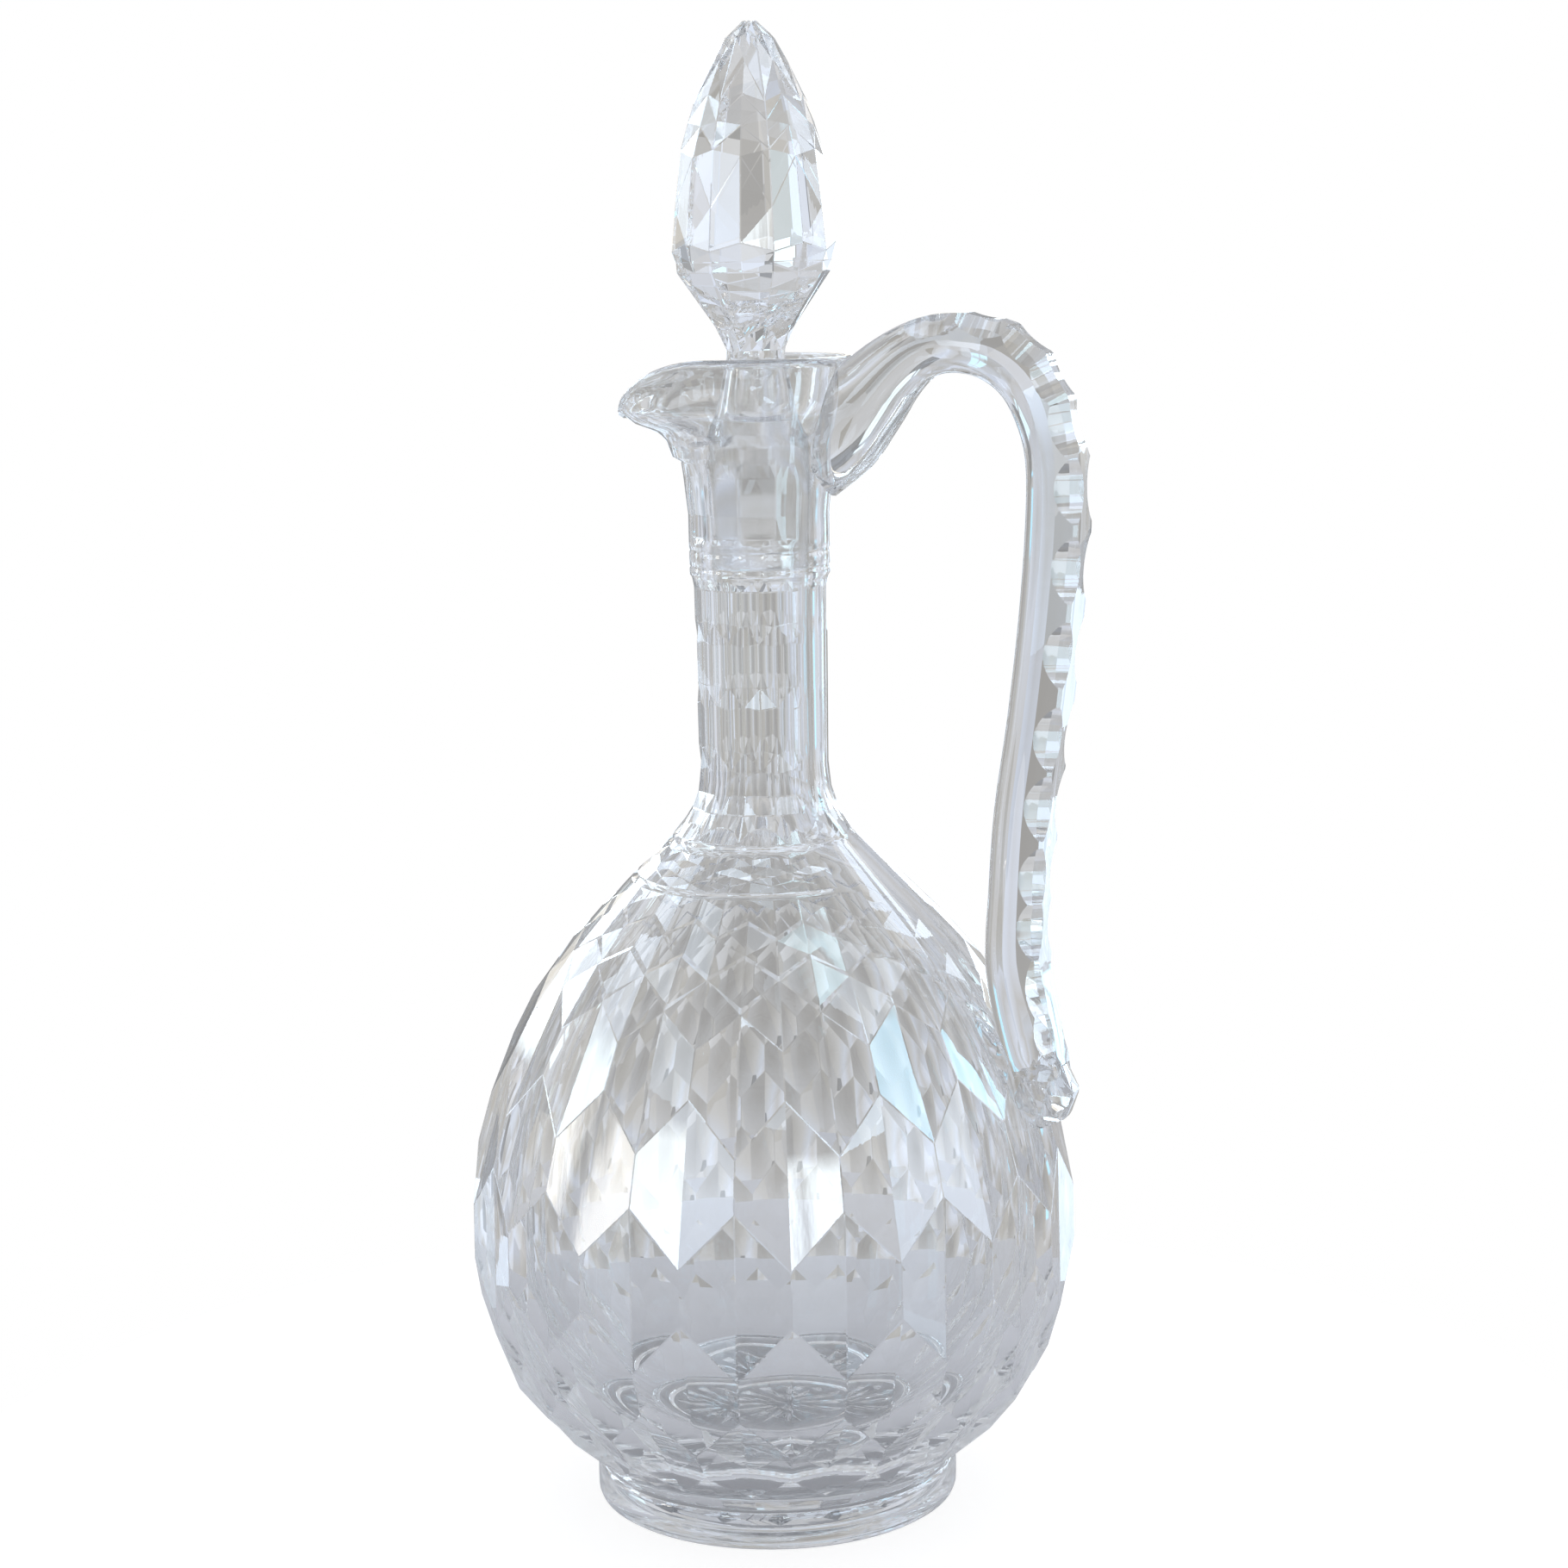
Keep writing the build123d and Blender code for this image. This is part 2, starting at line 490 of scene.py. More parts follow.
def math_node(tree: Tree, operation: str, first: Value, second: Value) -> Socket:
    """Add a math node on two sockets or numbers.

    Args:
        tree: node tree of the material or the world.
        operation: name of the operation.
        first: first socket or number.
        second: second socket or number.

    Returns:
        The node's output.
    """
    node = tree.nodes.new("ShaderNodeMath")
    node.operation = operation
    for socket, value in zip(node.inputs, (first, second)):
        if isinstance(value, (int, float)):
            socket.default_value = value
        else:
            tree.links.new(value, socket)
    return node.outputs["Value"]


def step_node(tree: Tree, value: Socket, start: float, end: float) -> Socket:
    """Add a clamped ramp from 0 at start to 1 at end.

    Args:
        tree: node tree of the material or the world.
        value: socket that is measured.
        start: value that gives 0.
        end: value that gives 1.

    Returns:
        The node's output.
    """
    node = tree.nodes.new("ShaderNodeMapRange")
    node.inputs["From Min"].default_value, node.inputs["From Max"].default_value = start, end
    tree.links.new(value, node.inputs["Value"])
    return node.outputs["Result"]


@dataclass(frozen=True)
class Grain:
    """One noise of the surface: stretch along the axis, cells in a metre, detail, and depth in metres."""

    stretch: float
    size: float
    detail: float
    depth: float = 0.0


@dataclass(frozen=True)
class CrystalFinish:
    """Polished lead crystal: a faint tint, wheel streaks and a slow wave in the surface.

    The ground zone lies between two heights, inside a bore, in metres.
    """

    name: str
    tint: Colour = (0.945, 0.95, 0.955)
    ior: float = 1.545
    streaks: float = 0.008
    streak_band: Point = (0.55, 0.8)
    wave: float = 0.012
    grain: float = 0.004
    polish: Grain = Grain(0.03, 900, 2)
    fine: Grain = Grain(0.05, 420, 2, 0.0004)
    broad: Grain = Grain(0.5, 38, 1, 0.004)
    frosted: Point | None = None
    frost: float = 0.11
    frost_fade: float = 0.0006
    frosted_bore: Point = (0.0126, 0.0122)

    @staticmethod
    def _noise(tree: Tree, grain: Grain) -> Socket:
        """Add a noise texture on object coordinates stretched by a mapping.

        Args:
            tree: node tree of the material or the world.
            grain: stretch, size and detail of the noise.

        Returns:
            The noise as a number from 0 to 1.
        """
        coords = tree.nodes.new("ShaderNodeTexCoord")
        mapping = tree.nodes.new("ShaderNodeMapping")
        mapping.inputs["Scale"].default_value = (1, 1, grain.stretch)
        noise = tree.nodes.new("ShaderNodeTexNoise")
        noise.inputs["Scale"].default_value = grain.size
        noise.inputs["Detail"].default_value = grain.detail
        tree.links.new(coords.outputs["Object"], mapping.inputs["Vector"])
        tree.links.new(mapping.outputs["Vector"], noise.inputs["Vector"])
        return noise.outputs["Fac"]

    def _bump(self, tree: Tree, grain: Grain, strength: float) -> bpy.types.Node:
        """Add the bump of one noise.

        Args:
            tree: node tree of the material or the world.
            grain: noise and depth of the bump.
            strength: strength of the bump.

        Returns:
            The bump node.
        """
        bump = tree.nodes.new("ShaderNodeBump")
        bump.inputs["Strength"].default_value = strength
        bump.inputs["Distance"].default_value = grain.depth
        tree.links.new(self._noise(tree, grain), bump.inputs["Height"])
        return bump

    def _ground(self, tree: Tree) -> Socket:
        """Roughness of the ground seat.

        Args:
            tree: node tree of the material or the world.

        Returns:
            Roughness inside the ground zone, and 0 outside it.
        """
        low, high = self.frosted
        coords = tree.nodes.new("ShaderNodeTexCoord")
        split = tree.nodes.new("ShaderNodeSeparateXYZ")
        tree.links.new(coords.outputs["Object"], split.inputs["Vector"])
        above = step_node(tree, split.outputs["Z"], low, low + self.frost_fade)
        below = step_node(tree, split.outputs["Z"], high, high - self.frost_fade)
        across = tree.nodes.new("ShaderNodeVectorMath")
        across.operation = "LENGTH"
        flat = tree.nodes.new("ShaderNodeCombineXYZ")
        tree.links.new(split.outputs["X"], flat.inputs["X"])
        tree.links.new(split.outputs["Y"], flat.inputs["Y"])
        tree.links.new(flat.outputs["Vector"], across.inputs[0])
        bore = step_node(tree, across.outputs["Value"], *self.frosted_bore)
        zone = math_node(tree, "MULTIPLY", math_node(tree, "MULTIPLY", above, below), bore)
        return math_node(tree, "MULTIPLY", zone, self.frost)

    def _roughness(self, tree: Tree) -> Socket:
        """Roughness of fine upright wheel streaks, and of the ground seat where there is one.

        Args:
            tree: node tree of the material or the world.

        Returns:
            The roughness.
        """
        spread = tree.nodes.new("ShaderNodeMapRange")
        start, end = self.streak_band
        spread.inputs["From Min"].default_value, spread.inputs["From Max"].default_value = start, end
        spread.inputs["To Min"].default_value, spread.inputs["To Max"].default_value = 0.0, self.streaks
        tree.links.new(self._noise(tree, self.polish), spread.inputs["Value"])
        if self.frosted is None:
            return spread.outputs["Result"]
        return math_node(tree, "MAXIMUM", self._ground(tree), spread.outputs["Result"])

    def material(self) -> bpy.types.Material:
        """Build the node material.

        Returns:
            A transmissive material with streaked roughness and a faint bump.
        """
        made = bpy.data.materials.new(self.name)
        made.use_nodes = True
        tree = made.node_tree
        shader = tree.nodes["Principled BSDF"]
        shader.inputs["Base Color"].default_value = (*self.tint, 1)
        shader.inputs["IOR"].default_value = self.ior
        shader.inputs["Transmission Weight"].default_value = 1.0
        tree.links.new(self._roughness(tree), shader.inputs["Roughness"])
        fine = self._bump(tree, self.fine, self.grain)
        broad = self._bump(tree, self.broad, self.wave)
        tree.links.new(broad.outputs["Normal"], fine.inputs["Normal"])
        tree.links.new(fine.outputs["Normal"], shader.inputs["Normal"])
        return made


def dress(obj: Piece, finish: CrystalFinish) -> None:
    """Give a piece one finish all over."""
    obj.data.materials.clear()
    obj.data.materials.append(finish.material())


# ---------------------------------------------------------------- the facet lattice


@dataclass(frozen=True)
class Zigzag:
    """One ring of the facet lattice: heights in mm on the even and the odd lines."""

    even: float
    odd: float

    def height(self, line: Line) -> float:
        """Height on one family of lines."""
        return self.even if line is Line.EVEN else self.odd


@dataclass
class Lattice:
    """Staggered facets on a turned outline: straight chords on upright lines, flat between them."""

    outline: Callable[[float], float]
    spacing: float
    even_at: float

    def line(self, turn: float) -> Line:
        """Family of the line at an azimuth in degrees."""
        steps = round((turn - self.even_at) / self.spacing)
        return Line.EVEN if steps % 2 == 0 else Line.ODD

    def radii(self, rows: Sequence[Zigzag]) -> list[dict[Line, float]]:
        """Radii that keep the strip between two lines flat from ring to ring.

        Args:
            rows: rings from one end of the lattice to the other.

        Returns:
            Radius in mm on each family of lines, for every ring.
        """
        made = [{line: self.outline(rows[0].height(line)) for line in Line}]
        for row, after in zip(rows, rows[1:]):
            long = max(Line, key=lambda line: abs(after.height(line) - row.height(line)))
            short = Line.ODD if long is Line.EVEN else Line.EVEN
            start, end = made[-1][long], self.outline(after.height(long))
            run, shrink = after.height(long) - row.height(long), start - end
            radii = {long: end, short: made[-1][short]}
            if abs(shrink) > SAME_RADIUS:
                apex = row.height(long) + start * run / shrink
                radii[short] *= (apex - after.height(short)) / (apex - row.height(short))
            made.append(radii)
        return made

    def climb(self, obj: Piece, rows: Sequence[Zigzag]) -> None:
        """Extrude the selected ring through the rings of the lattice after the first.

        Args:
            obj: the piece, in edit mode, with its first ring selected.
            rows: rings of the lattice, the selected one included.
        """
        for row, radii in list(zip(rows, self.radii(rows)))[1:]:
            extrude_in_place()
            ring = selected_ring(obj)
            for line in Line:
                choose_indices(obj, ring)
                choose(obj, lambda place: self.line(azimuth(place)) is line, among_selected=True)
                mesh = bmesh.from_edit_mesh(obj.data)
                place = next(v.co for v in mesh.verts if v.select).copy()
                scale = radii[line] * MM / off_axis(place)
                bpy.ops.transform.translate(value=(0, 0, row.height(line) * MM - place.z))
                bpy.ops.transform.resize(value=(scale, scale, 1), center_override=(0, 0, 0))
            choose_indices(obj, ring)


# ---------------------------------------------------------------- the jug


@dataclass
class Mouth:
    """Flared mouth with a pulled pouring lip: (height, round radius, reach) outside and inside, in mm.

    The rim is rolled through (inset, drop), and the seat's rings are (radius, height), in mm.
    """

    outside: tuple = (
        (219.0, 14.4, 0.0), (228.0, 16.0, 0.4), (234.0, 16.6, 1.6), (240.0, 17.6, 2.8), (242.0, 18.2, 4.6),
        (243.6, 18.7, 9.4), (246.5, 19.4, 12.2), (250.0, 20.2, 12.4), (262.0, 22.4, 11.4),
    )
    inside: tuple = (
        (237.0, 11.4, 0.0), (241.5, 13.4, 1.2), (243.5, 14.4, 4.0), (244.8, 15.0, 9.0), (246.4, 15.8, 12.2),
        (262.0, 19.6, 13.0),
    )
    flare_from: float = 236.5
    flare: tuple = (0.0, 0.09, 0.18, 0.26, 0.33, 0.4, 0.48, 0.57, 0.68, 0.8, 0.9)
    roll: tuple = ((0.0, 1.4), (0.25, 0.6), (0.85, 0.1), (1.6, 0.0), (2.3, 0.25), (2.75, 0.9))
    throat_from: float = 239.0
    throat: tuple = (0.86, 0.74, 0.62, 0.52, 0.44, 0.36, 0.28, 0.19, 0.1)
    seat: tuple = ((11.85, 239.0), (11.4, 227.0), (10.65, 212.0), (10.3, 208.0))
    rim: float = 258.0
    tip: float = 245.8
    drop_start: float = 3.0
    drop_level: float = 250.0
    narrowing: float = 6.0
    tip_reach: float = 32.5

    def _radius(self, levels: tuple, turn: float, height: float) -> float:
        """Radius of a level at an azimuth."""
        pull = ((1 - math.cos(math.radians(turn))) / 2) ** self.narrowing
        return between(levels, height, 1) + pull * between(levels, height, 2)

    def rim_height(self, turn: float) -> float:
        """Height of the rim, which falls away on an arc towards the end of the lip.

        Args:
            turn: azimuth in degrees.

        Returns:
            Height in mm.
        """
        lip = -self._radius(self.outside, turn, self.drop_level) * math.cos(math.radians(turn))
        out = lip - self.drop_start
        if out <= 0:
            return self.rim
        run, fall = self.tip_reach - self.drop_start, self.rim - self.tip
        arc = (run**2 + fall**2) / (2 * fall)
        return self.rim - arc + math.sqrt(arc**2 - min(out, run) ** 2)

    def _level(self, levels: tuple, base: float, share: float) -> Place:
        """Where a wall passes, part of the way from a base height to the rim.

        Args:
            levels: rows of the outside or the inside.
            base: height in mm where the wall starts.
            share: share of the way from the base to the rim.

        Returns:
            Gives (radius, height) in mm at an azimuth.
        """

        def where(turn: float) -> Point:
            """One point of the ring."""
            height = base + share * (self.rim_height(turn) - base)
            return self._radius(levels, turn, height), height

        return where

    def _rolled(self, inset: float, drop: float) -> Place:
        """Where the rounded rim passes, measured in from the outside and down from the top.

        Args:
            inset: distance in from the outside in mm.
            drop: distance below the top in mm.

        Returns:
            Gives (radius, height) in mm at an azimuth.
        """

        def where(turn: float) -> Point:
            """One point of the ring."""
            top = self.rim_height(turn)
            return self._radius(self.outside, turn, top) - inset, top - drop

        return where

    def extrude(self, shell: Piece) -> None:
        """Flare, pouring lip and rolled rim, then down the inside through the ground seat.

        Args:
            shell: neck shell, in edit mode, with its top ring selected.
        """
        places = [self._level(self.outside, self.flare_from, share) for share in self.flare]
        places += [self._rolled(*row) for row in self.roll]
        places += [self._level(self.inside, self.throat_from, share) for share in self.throat]
        for place in places:
            place_ring(shell, place)
        turn_rings(shell, self.seat)


@dataclass
class CrystalBody:
    """Blown bowl, neck and mouth, cut outside with staggered facets, and the star-cut foot fused under it.

    Sizes are in mm. Scales and band give (height, height, depth, depth) on the even and odd lines, and flats
    give (height, share of the cut, height, share of the cut). Grooves give (height, depth), panels (height,
    share of the cut), and collar, well and foot (radius, height). The star gives (radius, height in a cut,
    height between cuts). The two wall radii lie between the outside and the inside of the wall.
    """

    facets: Lattice
    flutes: Lattice
    mouth: Mouth
    finish: CrystalFinish
    rows: tuple = (
        Zigzag(9, 9), Zigzag(21, 14), Zigzag(28.4, 37.9), Zigzag(60.0, 47.8), Zigzag(72.2, 83.9),
        Zigzag(106.2, 95.0), Zigzag(115.6, 122.5),
    )
    scales: tuple = (
        (128.6, 123.6, 0.0, 0.4), (129.3, 132.4, 0.5, 0.0), (135.8, 133.0, 0.0, 0.5),
        (136.4, 138.6, 0.5, 0.0), (141.4, 139.2, 0.0, 0.45), (143.0, 143.0, 0.0, 0.0),
    )
    low_groove: tuple = ((143.6, 0.75), (144.4, 0.0))
    band: tuple = (
        (145.6, 146.4, 0.1, 0.55), (147.2, 148.0, 0.6, 0.0), (149.0, 149.4, 0.0, 0.55),
        (150.8, 150.6, 0.5, 0.0),
    )
    high_groove: tuple = ((151.8, 0.75), (152.5, 0.1))
    ledge: float = 153.2
    ledge_out: float = 0.05
    arch: Point = (153.4, 156.4)
    arch_depth: float = 0.12
    flats: tuple = (
        (159.0, 0.0, 159.0, 0.7), (163.0, 0.0, 163.0, 1.0), (167.8, 0.0, 168.5, 1.0),
        (172.3, 1.0, 173.0, 0.0), (182.5, 1.0, 182.0, 0.0), (187.0, 0.0, 186.8, 1.0),
        (196.0, 0.0, 196.5, 1.0), (200.3, 1.0, 200.8, 0.0), (207.8, 1.0, 207.8, 0.0),
    )
    collar: tuple = (
        (15.0, 210.0), (15.5, 210.8), (15.5, 212.0), (15.25, 212.5), (15.5, 213.0), (15.5, 215.6),
        (15.3, 216.1), (15.55, 216.7),
    )
    panels: tuple = ((218.0, 0.0), (219.2, 0.9), (224.0, 1.0), (229.0, 1.0), (232.5, 0.8), (235.5, 0.0))
    panelled_half: float = 140.0
    wall: tuple = (
        190, 174, 168, 164.5, 161, 157.5, 154, 150.5, 147, 143, 139, 135, 129, 122, 114, 105, 95, 84, 73, 62,
        51, 41, 32.5, 26, 21.5, 18.4, 16.8,
    )
    well: tuple = ((33.2, 16.1), (31.0, 15.9), (24.0, 16.2), (14.0, 16.6))
    well_centre: Point = (5.0, 16.8)
    foot: tuple = (
        (39.75, 8.8), (40.3, 8.9), (40.7, 8.4), (41.1, 7.2), (41.15, 4.5), (41.1, 1.6), (40.7, 0.6),
        (39.8, 0.0), (34.0, 0.0), (32.6, 0.4), (31.4, 1.8), (30.4, 2.5),
    )
    rays: int = 16
    star_edge: Point = (29.2, 2.5)
    star: tuple = ((24.0, 3.4, 2.5), (12.0, 3.9, 2.5), (7.8, 4.05, 2.6), (3.0, 4.1, 3.4))
    star_centre: Point = (0.8, 4.1)
    neck_wall: float = 12.5
    shoulder_wall: float = 18.5
    smooth_grooves: tuple = ((143.0, 144.4), (151.2, 153.4))
    uncut_half: float = 40.0
    uncut_fade: float = 12.0
    polish: float = 0.17

    def _uncut(self, turn: float) -> float:
        """Share of the full cutting depth at an azimuth: none beside the handle."""
        return min(max((abs(turn) - self.uncut_half) / self.uncut_fade + 0.5, 0), 1)

    def _groove_ring(self, height: float, cut: float) -> Place:
        """Where a groove ring passes."""
        return lambda turn: (OUTSIDE.radius(height) - cut * self._uncut(turn), height)

    def _dented(self, even: float, odd: float, even_dent: float, odd_dent: float) -> Place:
        """Where a row of small quilted cuts passes.

        Args:
            even: height on the even lines in mm.
            odd: height on the odd lines in mm.
            even_dent: depth on the even lines in mm.
            odd_dent: depth on the odd lines in mm.

        Returns:
            Gives (radius, height) in mm at an azimuth.
        """

        def where(turn: float) -> Point:
            """One point of the row."""
            height, dent = (even, even_dent) if self.facets.line(turn) is Line.EVEN else (odd, odd_dent)
            return OUTSIDE.radius(height) - dent * self._uncut(turn), height

        return where

    def _bowl_shell(self) -> Piece:
        """Outside of the bowl from the foot to the upper groove.

        Returns:
            The open shell.
        """
        start, step = self.rows[0].even, self.facets.spacing
        shell = ring_of("crystal_jug", round(FULL_TURN / step), OUTSIDE.radius(start), start,
                        self.facets.even_at - step)
        self.facets.climb(shell, self.rows)
        places = [self._dented(*row) for row in self.scales]
        places += [self._groove_ring(*row) for row in self.low_groove]
        places += [self._dented(*row) for row in self.band]
        places += [self._groove_ring(*row) for row in self.high_groove]
        for place in places:
            place_ring(shell, place)
        bpy.ops.object.mode_set(mode="OBJECT")
        return shell

    def _arch(self, turn: float) -> Point:
        """Foot of the neck's flutes: an arch across each flute.

        Args:
            turn: azimuth in degrees.

        Returns:
            Radius and height in mm.
        """
        share = (turn - self.flutes.even_at) / (2 * self.flutes.spacing) % 1
        low, high = self.arch
        height = low + (high - low) * math.sqrt(max(math.sin(math.pi * share), 0)) * self._uncut(turn)
        return OUTSIDE.radius(height) - self.arch_depth, height

    def _flat(self, even: float, even_cut: float, odd: float, odd_cut: float) -> Place:
        """Where a row of the neck's flats passes: cut to the full chord, or left on the blown surface.

        Args:
            even: height on the even lines in mm.
            even_cut: share of the full cut on the even lines.
            odd: height on the odd lines in mm.
            odd_cut: share of the full cut on the odd lines.

        Returns:
            Gives (radius, height) in mm at an azimuth.
        """
        chord = 1 - math.cos(math.radians(self.flutes.spacing))

        def where(turn: float) -> Point:
            """One point of the row."""
            height, cut = (even, even_cut) if self.flutes.line(turn) is Line.EVEN else (odd, odd_cut)
            return OUTSIDE.radius(height) * (1 - cut * chord * self._uncut(turn)), height

        return where

    def _neck_shell(self) -> Piece:
        """Outside of the neck from the arches, over the collar and its panels, to the rim and into the mouth.

        Returns:
            The open shell.
        """
        low, start = self.flats[0][0], self.collar[0]
        shell = ring_of("neck", round(FULL_TURN / self.flutes.spacing), OUTSIDE.radius(low), low,
                        self.flutes.even_at)
        place_ring(shell, self._flat(*self.flats[0]), extrude=False)
        for row in self.flats[1:]:
            place_ring(shell, self._flat(*row))
        turn_rings(shell, [start])
        split_edges(shell, 2, at_height(start[1]))
        place_ring(shell, lambda turn: start, extrude=False)
        turn_rings(shell, self.collar[1:])
        for row in self.panels:
            place_ring(shell, self._panel(*row))
        self.mouth.extrude(shell)
        bpy.ops.object.mode_set(mode="OBJECT")
        return shell

    def _panel(self, height: float, depth: float) -> Place:
        """Where the flat panels over the collar pass: chords of a twelfth of a turn.

        Args:
            height: height in mm.
            depth: share of the full cut.

        Returns:
            Gives (radius, height) in mm at an azimuth.
        """
        full = max(between(self.mouth.outside, height, 1), self.collar[-1][0])

        def where(turn: float) -> Point:
            """One point of the row.

            Args:
                turn: azimuth in degrees.

            Returns:
                Radius and height in mm.
            """
            off = (turn - self.flutes.even_at) % (2 * self.flutes.spacing) - self.flutes.spacing
            chord = full * math.cos(math.radians(self.flutes.spacing)) / math.cos(math.radians(off))
            cut = depth * self._uncut(turn) * (abs(turn) < self.panelled_half)
            return full + cut * (chord - full), height

        return where

    def _inner_wall(self, shell: Piece) -> None:
        """Blown inside of the neck and bowl, closed by a gently domed floor.

        Args:
            shell: bowl and neck, open below the seat.
        """
        seat_radius, seat_height = self.mouth.seat[-1]
        reach = (seat_radius + 0.2) * MM
        pick(shell)
        bpy.ops.object.mode_set(mode="EDIT")
        choose(shell, lambda place: at_height(seat_height)(place) and off_axis(place) < reach)
        turn_rings(shell, [(INSIDE.radius(height), height) for height in self.wall])
        turn_rings(shell, self.well)
        close_ring(shell, *self.well_centre)
        bpy.ops.object.mode_set(mode="OBJECT")

    def _bridge_neck(self, shell: Piece) -> None:
        """Close the ledge between the upper groove and the arches of the flutes.

        Args:
            shell: bowl and neck, not yet joined.
        """
        pick(shell)
        bpy.ops.object.mode_set(mode="EDIT")
        bpy.ops.mesh.select_mode(type="VERT")
        split_edges(shell, 2, at_height(self.flats[0][0], self.neck_wall))
        place_ring(shell, self._arch)
        turn_rings(shell, [(OUTSIDE.radius(self.ledge) + self.ledge_out, self.ledge)])
        ledge = selected_ring(shell)
        groove = choose(shell, at_height(self.high_groove[-1][0], self.shoulder_wall))
        choose_indices(shell, [*ledge, *groove])
        bpy.ops.mesh.bridge_edge_loops()
        bpy.ops.mesh.select_all(action="DESELECT")
        bpy.ops.object.mode_set(mode="OBJECT")

    def _foot(self, shell: Piece) -> None:
        """Thick fused foot with a star cut into its underside.

        Args:
            shell: bowl and neck, open below.
        """
        pick(shell)
        bpy.ops.object.mode_set(mode="EDIT")
        split_edges(shell, 1, at_height(self.rows[0].even))
        turn_rings(shell, self.foot)
        bpy.ops.object.mode_set(mode="OBJECT")
        join_into(shell, self._star())
        bpy.ops.object.mode_set(mode="EDIT")
        edge_radius, edge_height = self.star_edge
        choose(shell, at_height(edge_height, edge_radius - 0.4))
        bpy.ops.mesh.bridge_edge_loops()
        bpy.ops.object.mode_set(mode="OBJECT")

    def _on_ray(self, turn: float) -> bool:
        """True on the deep line of a V cut of the star."""
        return round(turn * self.rays * 2 / FULL_TURN) % 2 == 0

    def _star(self) -> Piece:
        """Star of V cuts that meet at the centre of the foot.

        Returns:
            The star, open at its edge.
        """
        star = ring_of("star", 2 * self.rays, *self.star_edge, 0)
        for radius, ray, rib in self.star:
            place_ring(star, lambda turn: (radius, ray if self._on_ray(turn) else rib))
        close_ring(star, *self.star_centre)
        bpy.ops.object.mode_set(mode="OBJECT")
        return star

    def _is_smooth(self, face: bpy.types.MeshPolygon) -> bool:
        """True for blown surfaces, turned rings and the uncut strip beside the handle.

        Args:
            face: face of the finished shell.

        Returns:
            False for cut facets.
        """
        centre = face.center / MM
        radius, height = off_axis(centre), centre.z
        turn = abs(azimuth(face.center))
        foot_top, collar_from, panels_from, flare_from = 9.05, 209.5, 218, 236
        if height < foot_top:
            return radius > self.foot[-1][0] - 0.1
        if height > flare_from or collar_from < height < panels_from:
            return True
        bore_top, wall_depth, bore_reach = 208, 2.6, 13.2
        if radius < OUTSIDE.radius(min(height, bore_top)) - wall_depth:
            return True
        if height > bore_top and radius < bore_reach:
            return True
        if any(low < height < high for low, high in self.smooth_grooves):
            return True
        shoulder, strip_from, strip_rise = 151, 131, 0.42
        if height > shoulder:
            return turn < self.uncut_half
        return height > strip_from + strip_rise * turn and turn < self.uncut_half

    def build(self) -> Piece:
        """Make the whole fused body.

        Returns:
            One closed shell of bowl, neck, mouth and foot.
        """
        shell = join_into(self._bowl_shell(), self._neck_shell())
        self._bridge_neck(shell)
        self._inner_wall(shell)
        self._foot(shell)
        face_outward(shell)
        shade_flat_and_smooth(shell, self._is_smooth)
        ease_edges(shell, self.polish)
        close_slivers(shell)
        dress(shell, self.finish)
        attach(shell, "jug")
        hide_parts("jug_body", "foot")
        return shell


# ---------------------------------------------------------------- the handle


@dataclass(frozen=True)
class Station:
    """One section of the handle: distance from the axis, height, depth, width in mm, and softness to 1."""

    out: float
    height: float
    depth: float
    width: float
    soft: float = 0.0

    def blend(self, other: "Station", share: float) -> "Station":
        """Section part of the way to another, with straight steps in every size."""
        ours, theirs = astuple(self), astuple(other)
        return Station(*(a + share * (b - a) for a, b in zip(ours, theirs)))


@dataclass(frozen=True)
class WheelCut:
    """One hollow ground by a wheel: beside which point, towards which side, wheel radius and depth in mm."""

    out: float
    height: float
    lean: float
    radius: float
    depth: float


